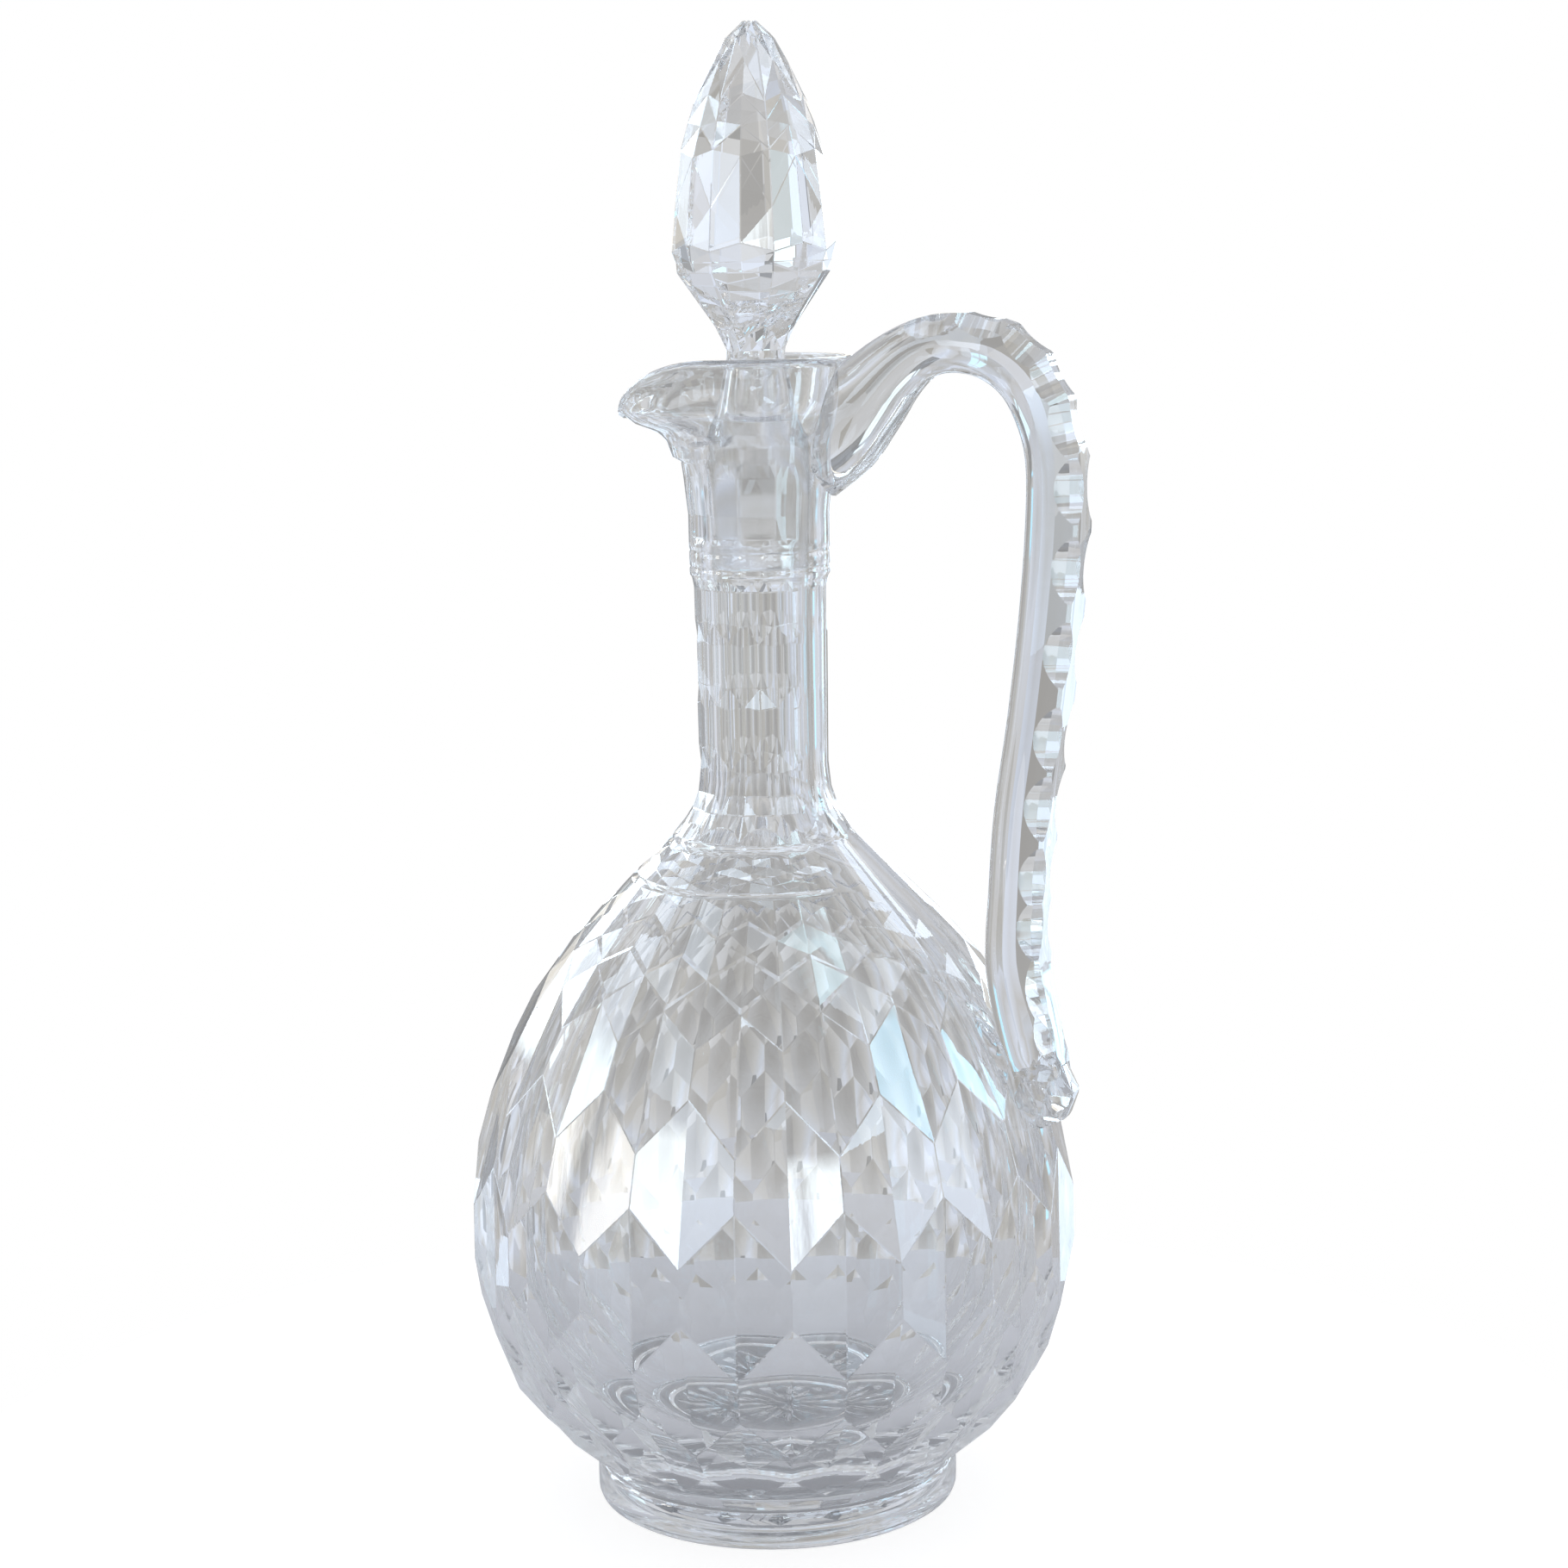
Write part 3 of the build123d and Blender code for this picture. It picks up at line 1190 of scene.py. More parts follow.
@dataclass
class CutHandle:
    """Pulled handle: soft at the mouth, ground square down its back with thumb marks, folded in a curl below.

    Sizes are in mm. Each wheel is (radius, depth), and each hollow is ground where the handle is nearest to a
    point (out, height). Turns are the places of a section's corners on the oval it softens to, in degrees.
    The core gives heights, and the curl is (out, height, radius).
    """

    finish: CrystalFinish
    mouth: Mouth
    stations: tuple = (
        Station(12.0, 239.8, 27.0, 14.0, 1.0), Station(19.0, 243.6, 24.0, 15.0, 1.0),
        Station(25.6, 249.0, 19.0, 15.0, 1.0), Station(31.4, 254.8, 15.6, 14.2, 1.0),
        Station(37.8, 259.2, 13.2, 13.4, 0.85), Station(45.0, 260.7, 12.8, 13.0, 0.3),
        Station(53.4, 259.6, 13.6, 13.0, 0.1), Station(60.8, 254.7, 13.8, 13.0),
        Station(65.4, 246.8, 13.4, 13.0), Station(67.8, 236.5, 12.7, 13.0),
        Station(67.8, 222.0, 12.9, 13.0), Station(66.1, 202.0, 12.7, 13.0),
        Station(63.4, 180.0, 12.7, 13.0), Station(60.4, 160.0, 12.9, 13.0),
        Station(59.0, 142.0, 13.0, 13.0), Station(58.4, 126.0, 13.4, 13.5),
        Station(61.0, 112.0, 13.6, 14.0, 0.2), Station(63.8, 101.0, 12.0, 14.5, 0.6),
    )
    steps: int = 4
    back_edge: float = 0.8
    taper: float = 0.55
    flat: float = 7.6
    inside_steps: int = 8
    turns: tuple[float, float, float] = (22.0, 36.0, 78.0)
    softness: float = 0.8
    lean: float = 45.0
    thumbs: tuple = ((78.0, 230.0), (78.0, 212.7), (78.0, 194.2), (78.0, 175.5), (78.0, 160.3), (78.0, 145.2),
                     (78.0, 134.8))
    thumb_wheel: Point = (11.0, 3.6)
    shoulders: tuple = ((41.5, 268.0), (56.5, 268.0), (65.5, 261.0), (70.5, 254.0), (74.8, 244.0))
    shoulder_wheel: Point = (15.0, 3.4)
    top_wheel: Point = (24.0, 0.5)
    low_flats: tuple = ((70.0, 122.0), (70.0, 112.0))
    low_wheel: Point = (18.0, 2.8)
    wheel_width: float = 30.0
    curl: tuple[float, float, float] = (63.6, 98.4, 8.6)
    curl_cut: float = 0.85
    curl_tilt: float = 20.0
    curl_flats: tuple = (
        (1, 0, 0), (0, 1, 0), (0, -1, 0), (0, 0, -1), (0, 0, 1), (1, 1, 0), (1, -1, 0), (1, 0, 1), (1, 0, -1),
        (0, 1, 1), (0, 1, -1), (0, -1, 1), (0, -1, -1), (-1, 1, 0), (-1, -1, 0), (1, 1, 1), (1, 1, -1),
        (1, -1, 1), (1, -1, -1),
    )
    bowl_core: tuple = (70, 80, 90, 98, 106, 114, 122, 130)
    neck_core: tuple = (136, 142, 148, 152, 156, 160, 164, 168, 190, 209)
    mouth_core: tuple = (212, 219, 228, 234, 240, 244, 250, 258)
    core_sides: int = 72
    core_least: float = 15.4
    core_end: float = 3.0
    deep: float = 2.2
    skin: float = 0.35
    smooth_below: float = 19.0
    sliver: float = 0.03

    def _rings(self) -> list[Station]:
        """Sections along the whole handle, on a smooth curve through the stations.

        Returns:
            Sections from the mouth to the curl.
        """
        made = []
        last = len(self.stations) - 1
        for index in range(last):
            four = [astuple(self.stations[min(max(index + k, 0), last)]) for k in (-1, 0, 1, 2)]
            for step in range(self.steps):
                t = step / self.steps
                made.append(Station(*(
                    0.5 * (2 * b + (c - a) * t + (2 * a - 5 * b + 4 * c - d) * t**2
                           + (3 * b - a - 3 * c + d) * t**3)
                    for a, b, c, d in zip(*four))))
        return [*made, self.stations[-1]]

    @staticmethod
    def _frame(before: Station, at: Station, after: Station) -> Matrix:
        """Frame of one section: X out of the handle's back, Y across, Z along.

        Args:
            before: section before this one.
            at: this section.
            after: section after this one.

        Returns:
            Matrix in metres.
        """
        along = Vector((after.out - before.out, 0, after.height - before.height)).normalized()
        across = Vector((0, -1, 0))
        made = Matrix((across.cross(along), across, along)).transposed().to_4x4()
        made.translation = Vector((at.out, 0, at.height)) * MM
        return made

    def _half_outline(self, a: float, b: float) -> list[tuple[Point, float]]:
        """Square back and rounded inside of one side of a section, with each corner's turn on the oval.

        Args:
            a: half the depth in mm.
            b: half the width in mm.

        Returns:
            Corners from the back to the inside, each with its turn on the oval in degrees.
        """
        edge, slim, start = self.back_edge, b - self.taper, a - self.flat
        corner, side, flank = self.turns
        half = [((a, slim - edge), corner), ((a - edge, slim), side)]
        for share in (0.33, 0.67, 1.0):
            place = a - edge + share * (start - a + edge), slim + share * self.taper
            half.append((place, side + (flank - side) * share))
        inset, thin = 0.4, 0.5
        for step in range(1, self.inside_steps + 1):
            share = step / self.inside_steps
            turn = math.radians(90 * share)
            place = start - inset - (a + start - inset) * math.sin(turn), (b - thin) * math.cos(turn)
            half.append((place, flank + (180 - flank) * share))
        return half

    def _section(self, at: Station) -> list[Vector]:
        """Outline of one section in its own frame: square back, rounded inside, or an oval where it is soft.

        Args:
            at: sizes of the section.

        Returns:
            Corners in metres.
        """
        a, b = at.depth / 2, at.width / 2
        half = self._half_outline(a, b)[:-1]
        outline = [((a, 0.0), 0.0), *half, ((-a, 0.0), 180.0)]
        outline += [((x, -y), -turn) for (x, y), turn in reversed(half)]
        made = []
        for (x, y), turn in outline:
            c, d = math.cos(math.radians(turn)), math.sin(math.radians(turn))
            across = math.copysign(a * abs(c) ** self.softness, c)
            oval = Vector((across, math.copysign(b * abs(d) ** self.softness, d), 0))
            made.append(Vector((x, y, 0)).lerp(oval, min(max(at.soft, 0), 1)) * MM)
        return made

    def _strap(self) -> Piece:
        """Pull the strap by extruding one section from ring to ring.

        Returns:
            The strap, closed at both ends.
        """
        rings = self._rings()
        frames = [self._frame(rings[max(k - 1, 0)], ring, rings[min(k + 1, len(rings) - 1)])
                  for k, ring in enumerate(rings)]
        corners = [[frame @ corner for corner in self._section(ring)] for frame, ring in zip(frames, rings)]
        deselect_all()
        bpy.ops.mesh.primitive_circle_add(vertices=len(corners[0]), radius=rings[0].depth / 2 * MM,
                                          fill_type="NGON")
        strap = settle(bpy.context.object, "crystal_handle")
        bpy.ops.object.mode_set(mode="EDIT")
        bpy.ops.mesh.select_mode(type="VERT")
        bpy.ops.mesh.select_all(action="SELECT")
        mesh = bmesh.from_edit_mesh(strap.data)
        for vert, place in zip(list(mesh.verts), corners[0]):
            vert.co = place
        bmesh.update_edit_mesh(strap.data)
        for old, new in zip(corners, corners[1:]):
            bpy.ops.mesh.extrude_region_move(TRANSFORM_OT_translate={"value": (0, 0, 0)})
            mesh = bmesh.from_edit_mesh(strap.data)
            for vert in [v for v in mesh.verts if v.select]:
                vert.co = new[min(range(len(old)), key=lambda k: (old[k] - vert.co).length)]
            bmesh.update_edit_mesh(strap.data)
        bpy.ops.object.mode_set(mode="OBJECT")
        face_outward(strap)
        return strap

    def _place(self, out: float, height: float) -> tuple[Matrix, Station]:
        """Frame and section of the handle nearest to a point beside it.

        Args:
            out: distance of the point from the axis in mm.
            height: its height in mm.

        Returns:
            The frame and the section.
        """
        nearest, found, reach = math.inf, None, 0.3
        for start, end in zip(self.stations, self.stations[1:]):
            run, rise = end.out - start.out, end.height - start.height
            share = ((out - start.out) * run + (height - start.height) * rise) / (run**2 + rise**2)
            share = min(max(share, 0), 1)
            at = start.blend(end, share)
            gap = math.hypot(out - at.out, height - at.height)
            if gap < nearest:
                nearest = gap
                before, after = start.blend(end, share - reach), start.blend(end, share + reach)
                found = self._frame(before, at, after), at
        return found

    def _cuts(self) -> list[WheelCut]:
        """All the hollows: thumb marks and flats down both back corners, and hollows over the top bend.

        Returns:
            The hollows in the order they are ground.
        """
        cuts = []
        for side in (-self.lean, self.lean):
            cuts += [WheelCut(*place, side, *self.thumb_wheel) for place in self.thumbs]
            cuts += [WheelCut(*place, side, *self.shoulder_wheel) for place in self.shoulders]
            cuts += [WheelCut(*place, side, *self.low_wheel) for place in self.low_flats]
        return cuts + [WheelCut(*place, 0, *self.top_wheel) for place in self.shoulders[1:]]

    def _wheel(self, cut: WheelCut) -> Piece:
        """Stone wheel standing where it leaves one hollow.

        Args:
            cut: the hollow.

        Returns:
            The wheel, in place.
        """
        frame_here, at = self._place(cut.out, cut.height)
        side = math.copysign(1, cut.lean) if cut.lean else 0
        corner = Vector((at.depth / 2, side * at.width / 2, 0)) * MM
        facing = frame_here @ Matrix.Translation(corner) @ Matrix.Rotation(math.radians(cut.lean), 4, "Z")
        facing = facing @ Matrix.Translation(Vector((cut.radius - cut.depth, 0, 0)) * MM)
        deselect_all()
        bpy.ops.mesh.primitive_cylinder_add(vertices=96, radius=cut.radius * MM, depth=self.wheel_width * MM)
        wheel = bpy.context.object
        wheel.matrix_world = facing @ Matrix.Rotation(math.radians(90), 4, "X")
        return settle(wheel, "wheel")

    def _curl(self) -> Piece:
        """Folded end, with flats cut round it.

        Returns:
            The curl, closed.
        """
        x, z, radius = self.curl
        deselect_all()
        bpy.ops.mesh.primitive_uv_sphere_add(segments=64, ring_count=32, radius=radius * MM,
                                             location=(x * MM, 0, z * MM))
        ball = settle(bpy.context.object, "curl")
        bpy.ops.object.mode_set(mode="EDIT")
        centre = Vector((x, 0, z)) * MM
        tilt = Matrix.Rotation(math.radians(self.curl_tilt), 3, "Y")
        for direction in self.curl_flats:
            normal = tilt @ Vector(direction).normalized()
            bpy.ops.mesh.select_all(action="SELECT")
            bpy.ops.mesh.bisect(plane_co=centre + normal * (radius - self.curl_cut) * MM, plane_no=normal,
                                use_fill=True, clear_outer=True)
        bpy.ops.object.mode_set(mode="OBJECT")
        face_outward(ball)
        return ball

    def _core(self) -> Piece:
        """Filled shape just under the jug's skin, which the handle is trimmed against.

        Returns:
            The core, closed.
        """
        low, top = self.bowl_core[0], self.mouth_core[-1]
        core = ring_of("core", self.core_sides, OUTSIDE.radius(low) - self.deep, low, 0)
        for height in self.bowl_core[1:]:
            next_ring(core, OUTSIDE.radius(height) - self.deep, height)
        for height in self.neck_core:
            next_ring(core, OUTSIDE.radius(height) - self.skin, height)
        for height in self.mouth_core:
            next_ring(core, max(between(self.mouth.outside, height, 1), self.core_least) - self.skin, height)
        close_ring(core, self.core_end, top)
        choose(core, at_height(low))
        bpy.ops.mesh.edge_face_add()
        bpy.ops.object.mode_set(mode="OBJECT")
        face_outward(core)
        return core

    def build(self) -> Piece:
        """Make the handle.

        Returns:
            One closed piece that runs a hair into the jug's skin at both ends.
        """
        handle = self._strap()
        for cut in self._cuts():
            apply_boolean(handle, self._wheel(cut), Cut.DIFFERENCE)
        apply_boolean(handle, self._curl(), Cut.UNION)
        apply_boolean(handle, self._core(), Cut.DIFFERENCE)
        close_slivers(handle, self.sliver)
        bpy.ops.object.shade_smooth_by_angle(angle=math.radians(self.smooth_below))
        dress(handle, self.finish)
        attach(handle, "jug")
        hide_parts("handle")
        return handle


# ---------------------------------------------------------------- the stopper


@dataclass
class CutStopper:
    """Solid pointed stopper: cut finial, waist and a ground plug.

    A tier is (radius, height) in mm on the even lines and on the odd lines.
    """

    finish: CrystalFinish
    lines: int = 16
    first_line: float = 13.0
    girdle: tuple = ((18.0, 282.4), (18.2, 280.6))
    crown: tuple = (
        ((15.7, 300.5), (17.3, 289.8)), ((13.6, 307.0), (15.8, 302.0)), ((11.3, 313.5), (14.0, 308.0)),
        ((8.0, 321.0), (12.7, 312.0)), ((4.4, 326.6), (5.6, 325.6)),
    )
    point: Point = (1.4, 329.5)
    below: tuple = (
        ((16.9, 278.4), (17.3, 278.4)), ((15.9, 276.2), (17.2, 276.2)), ((7.2, 262.8), (9.0, 264.6)),
        ((6.5, 259.5), (6.5, 259.5)), ((6.5, 257.5), (6.4, 257.5)),
    )
    waist: Point = (6.4, 257.5)
    plug: tuple = (
        (6.5, 256.0), (7.2, 253.0), (8.1, 249.0), (9.2, 243.5), (10.2, 241.2), (11.3, 239.6), (11.8, 238.8),
        (10.65, 213.0), (10.2, 212.2), (9.4, 212.0),
    )
    plug_end: Point = (3.0, 212.0)
    polish: float = 0.16

    def _tier(self, even: Point, odd: Point) -> Place:
        """Where a tier of the finial passes."""
        spacing = FULL_TURN / self.lines
        return lambda turn: even if round((turn - self.first_line) / spacing) % 2 == 0 else odd

    def build(self) -> Piece:
        """Make the stopper.

        Returns:
            One closed solid that rides on its own body.
        """
        stopper = ring_of("crystal_stopper", self.lines, *self.girdle[0], self.first_line)
        place_ring(stopper, self._tier(*self.girdle), extrude=False)
        for tier in self.crown:
            place_ring(stopper, self._tier(*tier))
        close_ring(stopper, *self.point)
        girdle_top = self.girdle[0][1] + 0.4
        choose(stopper, lambda place: place.z < girdle_top * MM)
        for tier in self.below:
            place_ring(stopper, self._tier(*tier))
        split_edges(stopper, 3, at_height(self.waist[1]))
        place_ring(stopper, lambda turn: self.waist, extrude=False)
        turn_rings(stopper, self.plug)
        close_ring(stopper, *self.plug_end)
        bpy.ops.object.mode_set(mode="OBJECT")
        face_outward(stopper)
        shade_flat_and_smooth(stopper, lambda face: face.center.z < (self.waist[1] - 0.1) * MM)
        ease_edges(stopper, self.polish)
        close_slivers(stopper)
        dress(stopper, self.finish)
        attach(stopper, "stopper")
        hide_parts("stopper")
        return stopper


# ---------------------------------------------------------------- the studio


@dataclass(frozen=True)
class Window:
    """One tall window of the room, in degrees as the jug sees it, and how bright its panes are."""

    azimuth: float
    width: float
    glow: float
    tone: Colour = (0.80, 0.94, 1.0)
    low: float = 7.0
    high: float = 40.0
    blur: Point = (0.5, 0.8)
    post: Point = (0.05, 0.3)
    rail: Point = (0.9, 0.4)
    rail_at: float = 1.5


@dataclass
class Studio:
    """Pale floor, a room of grey and warm walls seen in the glass, its windows and the camera."""

    camera_at: tuple[float, float, float] = (0.26942, -0.66684, 0.2856)
    heading: float = 21.65
    pitch: float = -9.65
    roll: float = -1.07
    lens: float = 75.2
    floor_radius: float = 0.20
    floor_drop: float = 0.0002
    floor_tone: Colour = (0.22, 0.22, 0.23)
    floor_roughness: float = 0.9
    floor_glow: float = 0.86
    floor_in_glass: float = 0.40
    # Glow of the floor seen in the glass under the foot: painted shade standing in for the foot's shadow.
    glow_in_painted_shade: float = 0.24
    painted_shade_fade: Point = (0.034, 0.048)
    floor_hue: Colour = (0.88, 0.91, 1.0)
    backdrop_in_glass: float = 0.10
    daylight: float = 0.80
    patch_size: float = 6.5
    patch_squash: float = 0.7
    window_in_glass: float = 1.5
    cloud_size: float = 1.7
    clouds: tuple = (
        (0.30, (0.38, 0.365, 0.34)), (0.42, (0.57, 0.565, 0.555)), (0.50, (0.64, 0.68, 0.755)),
        (0.56, (0.54, 0.535, 0.525)), (0.64, (0.74, 0.80, 0.91)),
    )
    patches: tuple = (
        (0.00, (0.86, 0.84, 0.80)), (0.22, (1.0, 1.0, 1.0)), (0.44, (0.90, 0.91, 0.94)),
        (0.60, (0.42, 0.42, 0.42)), (0.67, (1.1, 1.1, 1.12)), (0.84, (1.25, 1.28, 1.34)),
    )
    gleam_size: float = 10.0
    gleams: tuple = (
        (0.00, (0.2, 0.2, 0.2)), (0.16, (1.6, 1.5, 1.3)), (0.28, (3.2, 3.7, 4.2)), (0.42, (0.4, 0.4, 0.4)),
        (0.54, (4.2, 4.9, 5.8)), (0.66, (1.3, 1.25, 1.2)), (0.78, (0.3, 0.3, 0.3)), (0.90, (6.5, 8.0, 9.5)),
    )
    gleam_from: Point = (-3.0, 2.0)
    low_gleam: float = 0.32
    gleam_to: Point = (58.0, 50.0)
    high_gleam: float = 0.4
    windows: tuple = (
        Window(-100.8, 5, 15, (0.85, 0.95, 1.0), 9, 18), Window(-63.6, 4.4, 15, (0.85, 0.95, 1.0), 9, 19),
        Window(6.5, 10, 11, (0.42, 0.78, 1.0), 20, 33), Window(42, 11, 10, (0.42, 0.78, 1.0), 10, 22),
        Window(-142, 8, 11, (1.0, 0.97, 0.9), 4, 14), Window(-14, 8, 6, (0.6, 0.85, 1.0), -32, 20),
        Window(75.6, 8, 12, (0.7, 0.9, 1.0), 3, 14), Window(69, 6, 8, (0.42, 0.78, 1.0), -9, -2),
        Window(128, 6, 12, low=4, high=14), Window(165, 9, 14, low=8, high=22),
        Window(-170, 8, 12, low=6, high=20), Window(102, 7, 11, (0.6, 0.85, 1.0), 18, 32),
        Window(-12, 30, 9, (0.6, 0.88, 1.0), 58, 70),
    )
    bounces: int = 64
    mirror_bounces: int = 48

    def _floor(self) -> None:
        """Round pale table top that the jug stands on. Glass rays see it glow, with painted shade under the
        foot.
        """
        deselect_all()
        bpy.ops.mesh.primitive_circle_add(vertices=96, radius=self.floor_radius, fill_type="NGON",
                                          location=(0, 0, -self.floor_drop))
        floor = settle(bpy.context.object, "floor")
        made = bpy.data.materials.new("pale_floor")
        made.use_nodes = True
        tree = made.node_tree
        shader = tree.nodes["Principled BSDF"]
        shader.inputs["Base Color"].default_value = (*self.floor_tone, 1)
        shader.inputs["Roughness"].default_value = self.floor_roughness
        path = tree.nodes.new("ShaderNodeLightPath")
        glass = math_node(tree, "MAXIMUM", path.outputs["Is Glossy Ray"], path.outputs["Is Transmission Ray"])
        lift = math_node(tree, "MULTIPLY", path.outputs["Is Camera Ray"], self.floor_glow)
        coords = tree.nodes.new("ShaderNodeTexCoord")
        out = tree.nodes.new("ShaderNodeVectorMath")
        out.operation = "LENGTH"
        tree.links.new(coords.outputs["Object"], out.inputs[0])
        # Painted shade: inside the foot's radius the floor seen in the glass glows less, in place of the
        # foot's shadow.
        outside_painted_shade = step_node(tree, out.outputs["Value"], *self.painted_shade_fade)
        glow = math_node(tree, "MULTIPLY", outside_painted_shade, self.floor_in_glass - self.glow_in_painted_shade)
        glow = math_node(tree, "ADD", glow, self.glow_in_painted_shade)
        lift = math_node(tree, "MAXIMUM", lift, math_node(tree, "MULTIPLY", glass, glow))
        tree.links.new(lift, shader.inputs["Emission Strength"])
        hue = tree.nodes.new("ShaderNodeMix")
        hue.data_type = "RGBA"
        tree.links.new(glass, hue.inputs["Factor"])
        hue.inputs["A"].default_value = (1, 1, 1, 1)
        hue.inputs["B"].default_value = (*self.floor_hue, 1)
        tree.links.new(hue.outputs["Result"], shader.inputs["Emission Color"])
        floor.data.materials.append(made)

    def _room(self) -> None:
        """World: white to the camera, plain daylight on the floor, a room with windows in the glass."""
        world = bpy.data.worlds.new("room")
        bpy.context.scene.world = world
        world.use_nodes = True
        tree = world.node_tree
        back = tree.nodes["Background"]
        direction = tree.nodes.new("ShaderNodeTexCoord").outputs["Generated"]
        split = tree.nodes.new("ShaderNodeSeparateXYZ")
        tree.links.new(direction, split.inputs["Vector"])
        bearing = math_node(tree, "ARCTAN2", split.outputs["Y"], split.outputs["X"])
        bearing = math_node(tree, "MULTIPLY", bearing, math.degrees(1))
        rise = math_node(tree, "MULTIPLY", math_node(tree, "ARCSINE", split.outputs["Z"], 0), math.degrees(1))
        path = tree.nodes.new("ShaderNodeLightPath").outputs
        not_through = math_node(tree, "SUBTRACT", 1.0, path["Is Transmission Ray"])
        mirrored = math_node(tree, "MULTIPLY", path["Is Glossy Ray"], not_through)
        patches = self._bands(tree, self._cells(tree, direction, self.patch_size), self.patches)
        walls = self._mix(tree, "MULTIPLY", 1.0, self._clouds(tree, direction), patches)
        gleams = self._bands(tree, self._cells(tree, direction, self.gleam_size), self.gleams)
        for ends, share in ((self.gleam_from, self.low_gleam), (self.gleam_to, self.high_gleam)):
            fade = self._bands(tree, step_node(tree, rise, *ends), ((0.0, (share,) * 3), (1.0, (1.0,) * 3)),
                               Steps.LINEAR)
            gleams = self._mix(tree, "MULTIPLY", 1.0, gleams, fade)
        for window in self.windows:
            pane = self._window(tree, bearing, rise, window)
            walls = self._blend(tree, pane, walls, tuple(self.window_in_glass * part for part in window.tone))
            gleams = self._blend(tree, pane, gleams, tuple(window.glow * part for part in window.tone))
        room = self._mix(tree, "MIX", mirrored, walls, gleams)
        direct = math_node(tree, "LESS_THAN", path["Diffuse Depth"], 0.5)
        seen = math_node(tree, "MAXIMUM", path["Is Glossy Ray"], path["Is Transmission Ray"])
        plain = self._blend(tree, math_node(tree, "SUBTRACT", 1.0, direct), room, (self.daylight,) * 3)
        lifted = math_node(tree, "MULTIPLY", seen, self.backdrop_in_glass)
        lifted = math_node(tree, "MAXIMUM", lifted, path["Is Camera Ray"])
        white = self._blend(tree, lifted, plain, (1.0, 1.0, 1.0))
        tree.links.new(white, back.inputs["Color"])
        back.inputs["Strength"].default_value = 1.0

    @staticmethod
    def _mix(tree: Tree, kind: str, share: Value, under: Socket, over: Socket) -> Socket:
        """Mix two colours that both come from nodes.

        Args:
            tree: node tree of the material or the world.
            kind: blend type of the mix.
            share: socket or number from 0 to 1.
            under: first colour.
            over: second colour.

        Returns:
            The mixed colour.
        """
        mix = tree.nodes.new("ShaderNodeMix")
        mix.data_type, mix.blend_type = "RGBA", kind
        if isinstance(share, float):
            mix.inputs["Factor"].default_value = share
        else:
            tree.links.new(share, mix.inputs["Factor"])
        tree.links.new(under, mix.inputs["A"])
        tree.links.new(over, mix.inputs["B"])
        return mix.outputs["Result"]

    def _clouds(self, tree: Tree, direction: Socket) -> Socket:
        """Soft light and shade of the room's walls.

        Args:
            tree: node tree of the material or the world.
            direction: socket with the direction looked in.

        Returns:
            The colour of the walls.
        """
        noise = tree.nodes.new("ShaderNodeTexNoise")
        noise.inputs["Scale"].default_value = self.cloud_size
        noise.inputs["Detail"].default_value = 1.0
        tree.links.new(direction, noise.inputs["Vector"])
        return self._bands(tree, noise.outputs["Fac"], self.clouds, Steps.LINEAR)

    @staticmethod
    def _blend(tree: Tree, share: Socket, under: Socket, over: Colour) -> Socket:
        """Lay one plain colour over another by a share from 0 to 1.

        Args:
            tree: node tree of the material or the world.
            share: socket from 0 to 1.
            under: socket with the first colour.
            over: second colour.

        Returns:
            The blended colour.
        """
        mix = tree.nodes.new("ShaderNodeMix")
        mix.data_type = "RGBA"
        tree.links.new(share, mix.inputs["Factor"])
        tree.links.new(under, mix.inputs["A"])
        mix.inputs["B"].default_value = (*over, 1)
        return mix.outputs["Result"]

    def _cells(self, tree: Tree, direction: Socket, size: float) -> Socket:
        """Crisp patches of the room round the jug, a number from 0 to 1 on each.

        Args:
            tree: node tree of the material or the world.
            direction: socket with the direction looked in.
            size: number of patches across.

        Returns:
            A number from 0 to 1 on each patch.
        """
        mapping = tree.nodes.new("ShaderNodeMapping")
        mapping.inputs["Scale"].default_value = (1, 1, self.patch_squash)
        tree.links.new(direction, mapping.inputs["Vector"])
        cells = tree.nodes.new("ShaderNodeTexVoronoi")
        cells.inputs["Scale"].default_value = size
        tree.links.new(mapping.outputs["Vector"], cells.inputs["Vector"])
        split = tree.nodes.new("ShaderNodeSeparateColor")
        tree.links.new(cells.outputs["Color"], split.inputs["Color"])
        return split.outputs["Red"]

    @staticmethod
    def _bands(tree: Tree, value: Socket, stops: Sequence[tuple], steps: Steps = Steps.CONSTANT) -> Socket:
        """Turn a number from 0 to 1 into the colour of the band it falls in.

        Args:
            tree: node tree of the material or the world.
            value: socket from 0 to 1.
            stops: start and colour of each band.
            steps: whether bands are crisp or run into each other.

        Returns:
            The colour.
        """
        ramp = tree.nodes.new("ShaderNodeValToRGB")
        bands = ramp.color_ramp
        bands.interpolation = steps.value
        bands.elements[0].position, bands.elements[0].color = stops[0][0], (*stops[0][1], 1)
        bands.elements[1].position, bands.elements[1].color = stops[-1][0], (*stops[-1][1], 1)
        for position, colour in stops[1:-1]:
            bands.elements.new(position).color = (*colour, 1)
        tree.links.new(value, ramp.inputs["Fac"])
        return ramp.outputs["Color"]

    @staticmethod
    def _strip(tree: Tree, value: Socket, centre: float, half: float, soft: float) -> Socket:
        """Mask of a strip round a centre."""
        off = math_node(tree, "ABSOLUTE", math_node(tree, "SUBTRACT", value, centre), 0)
        return step_node(tree, off, half, half - soft)

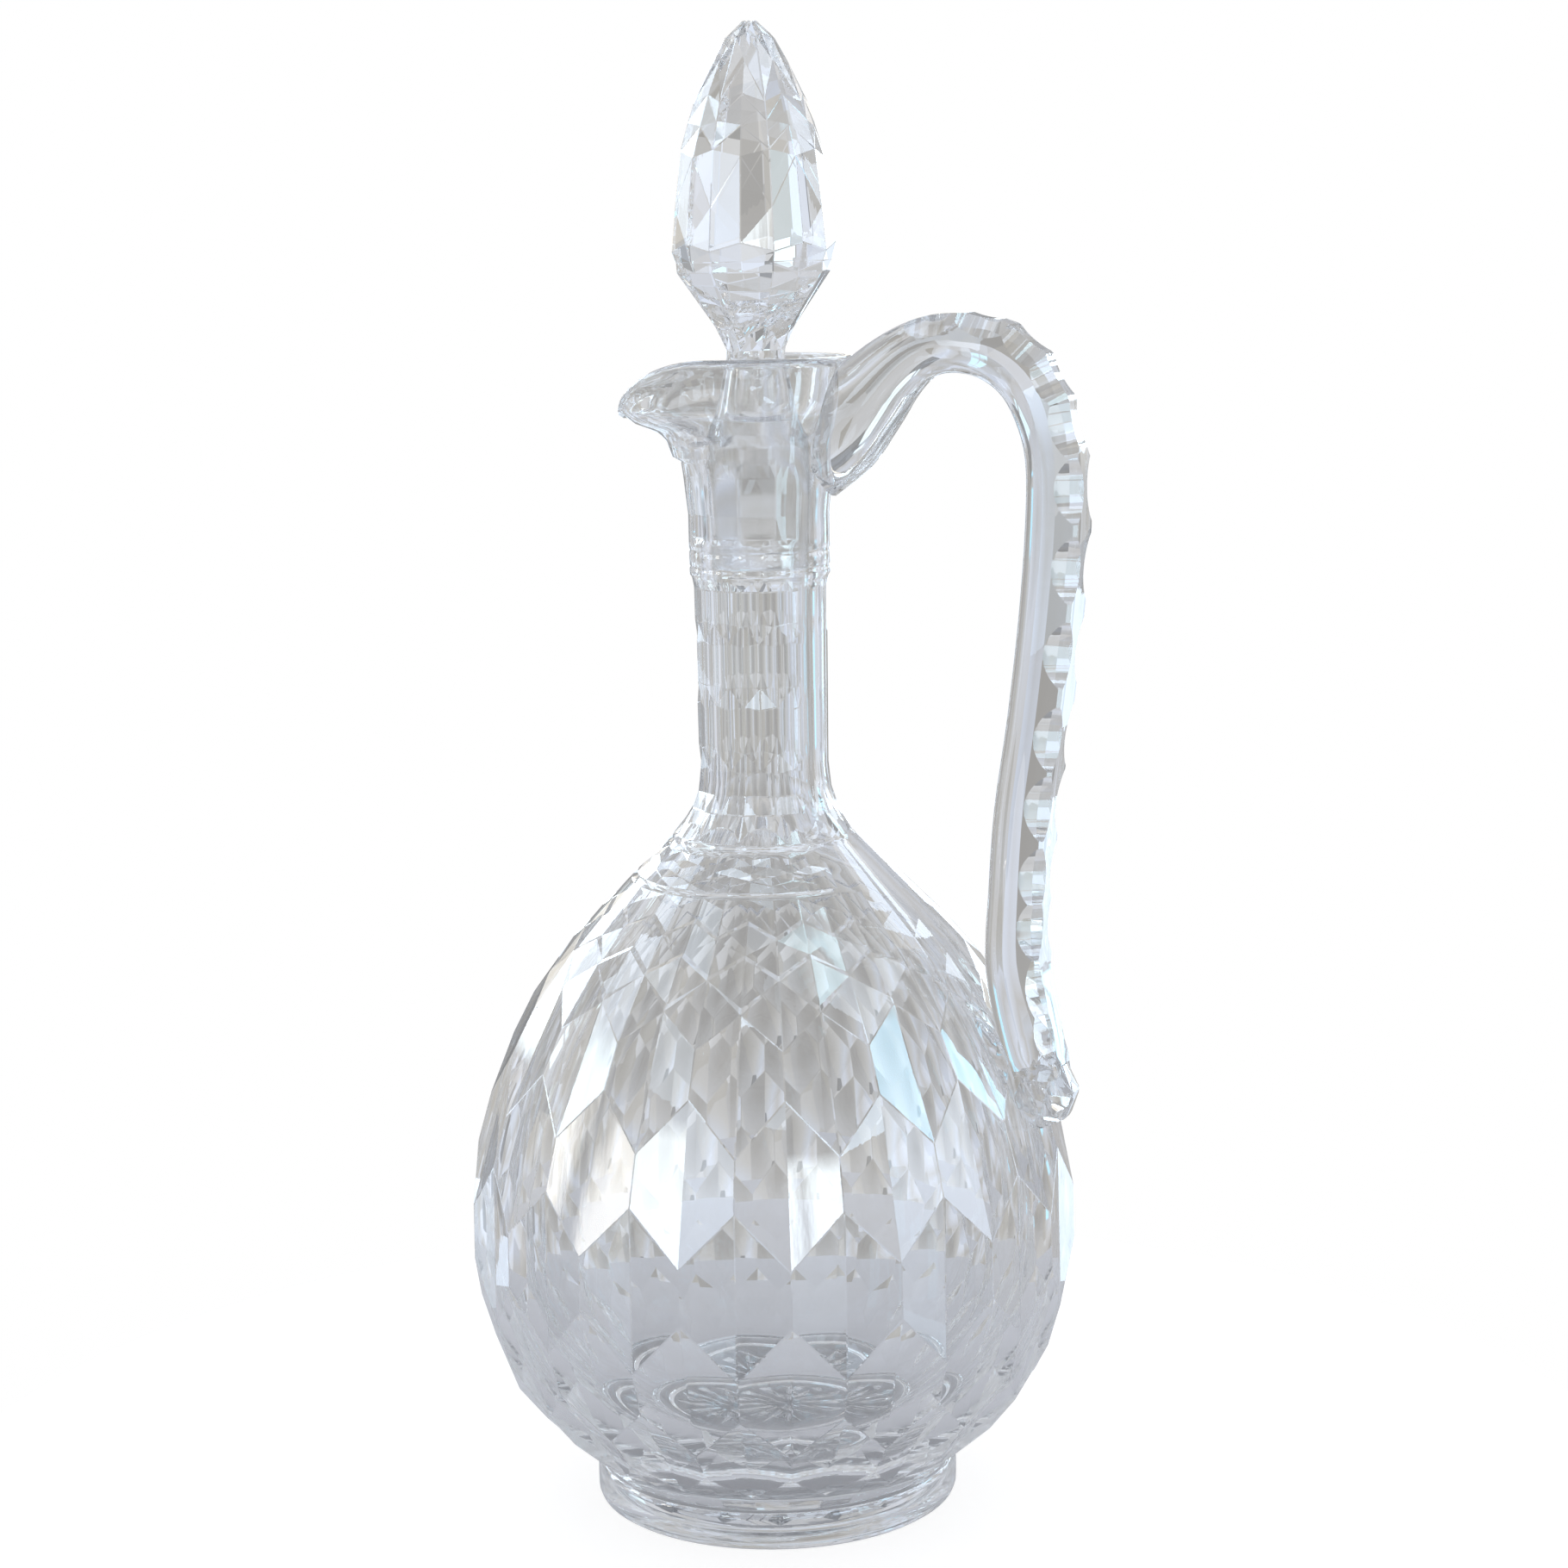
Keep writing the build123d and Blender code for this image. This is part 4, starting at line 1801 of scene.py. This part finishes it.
    def _window(self, tree: Tree, bearing: Socket, height: Socket, window: Window) -> Socket:
        """Mask of one window: a rectangle less its glazing bars.

        Args:
            tree: node tree of the material or the world.
            bearing: socket with the azimuth in degrees.
            height: socket with the elevation in degrees.
            window: place and size of the window.

        Returns:
            1 on the panes and 0 elsewhere.
        """
        middle, half = (window.low + window.high) / 2, (window.high - window.low) / 2
        side_blur, end_blur = window.blur
        upright = self._strip(tree, bearing, window.azimuth, window.width / 2, side_blur)
        pane = math_node(tree, "MULTIPLY", upright, self._strip(tree, height, middle, half, end_blur))
        post_share, post_blur = window.post
        post = self._strip(tree, bearing, window.azimuth, window.width * post_share, post_blur)
        rail = self._strip(tree, height, window.low + window.rail_at * half, *window.rail)
        bars = math_node(tree, "MAXIMUM", post, rail)
        return math_node(tree, "MULTIPLY", pane, math_node(tree, "SUBTRACT", 1.0, bars))

    def _camera(self) -> None:
        """Long lens a little above the shoulder."""
        data = bpy.data.cameras.new("camera")
        data.lens, data.sensor_width = self.lens, 36.0
        camera = bpy.data.objects.new("camera", data)
        bpy.context.scene.collection.objects.link(camera)
        camera.location = self.camera_at
        aim = Matrix.Rotation(math.radians(self.heading), 4, "Z")
        aim @= Matrix.Rotation(math.radians(90 + self.pitch), 4, "X")
        aim @= Matrix.Rotation(math.radians(self.roll), 4, "Z")
        camera.rotation_euler = aim.to_euler()
        data.clip_start, data.clip_end = 0.01, 50
        bpy.context.scene.camera = camera

    def build(self) -> None:
        """Set the stage."""
        self._floor()
        self._room()
        self._camera()
        scene = bpy.context.scene
        scene.view_settings.view_transform = "Standard"
        scene.cycles.max_bounces = scene.cycles.transmission_bounces = self.bounces
        scene.cycles.glossy_bounces = self.mirror_bounces


def main() -> None:
    """Build the jug, then the studio round it."""
    logging.basicConfig(level=logging.INFO, format="%(name)s: %(message)s")
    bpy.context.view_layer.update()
    mouth = Mouth()
    facets = Lattice(OUTSIDE.radius, spacing=10.0, even_at=15.0)
    flutes = Lattice(OUTSIDE.radius, spacing=15.0, even_at=5.0)
    makers = (
        CrystalBody(facets, flutes, mouth, CrystalFinish("cut_crystal", frosted=(0.212, 0.2395))),
        CutHandle(CrystalFinish("handle_crystal", tint=(0.86, 0.865, 0.87)), mouth),
        CutStopper(CrystalFinish("stopper_crystal", frosted=(0.2118, 0.2396))),
    )
    for maker in makers:
        piece = maker.build()
        log.info("%s: %d faces", piece.name, len(piece.data.polygons))
    Studio().build()


if __name__ == "__main__":
    main()
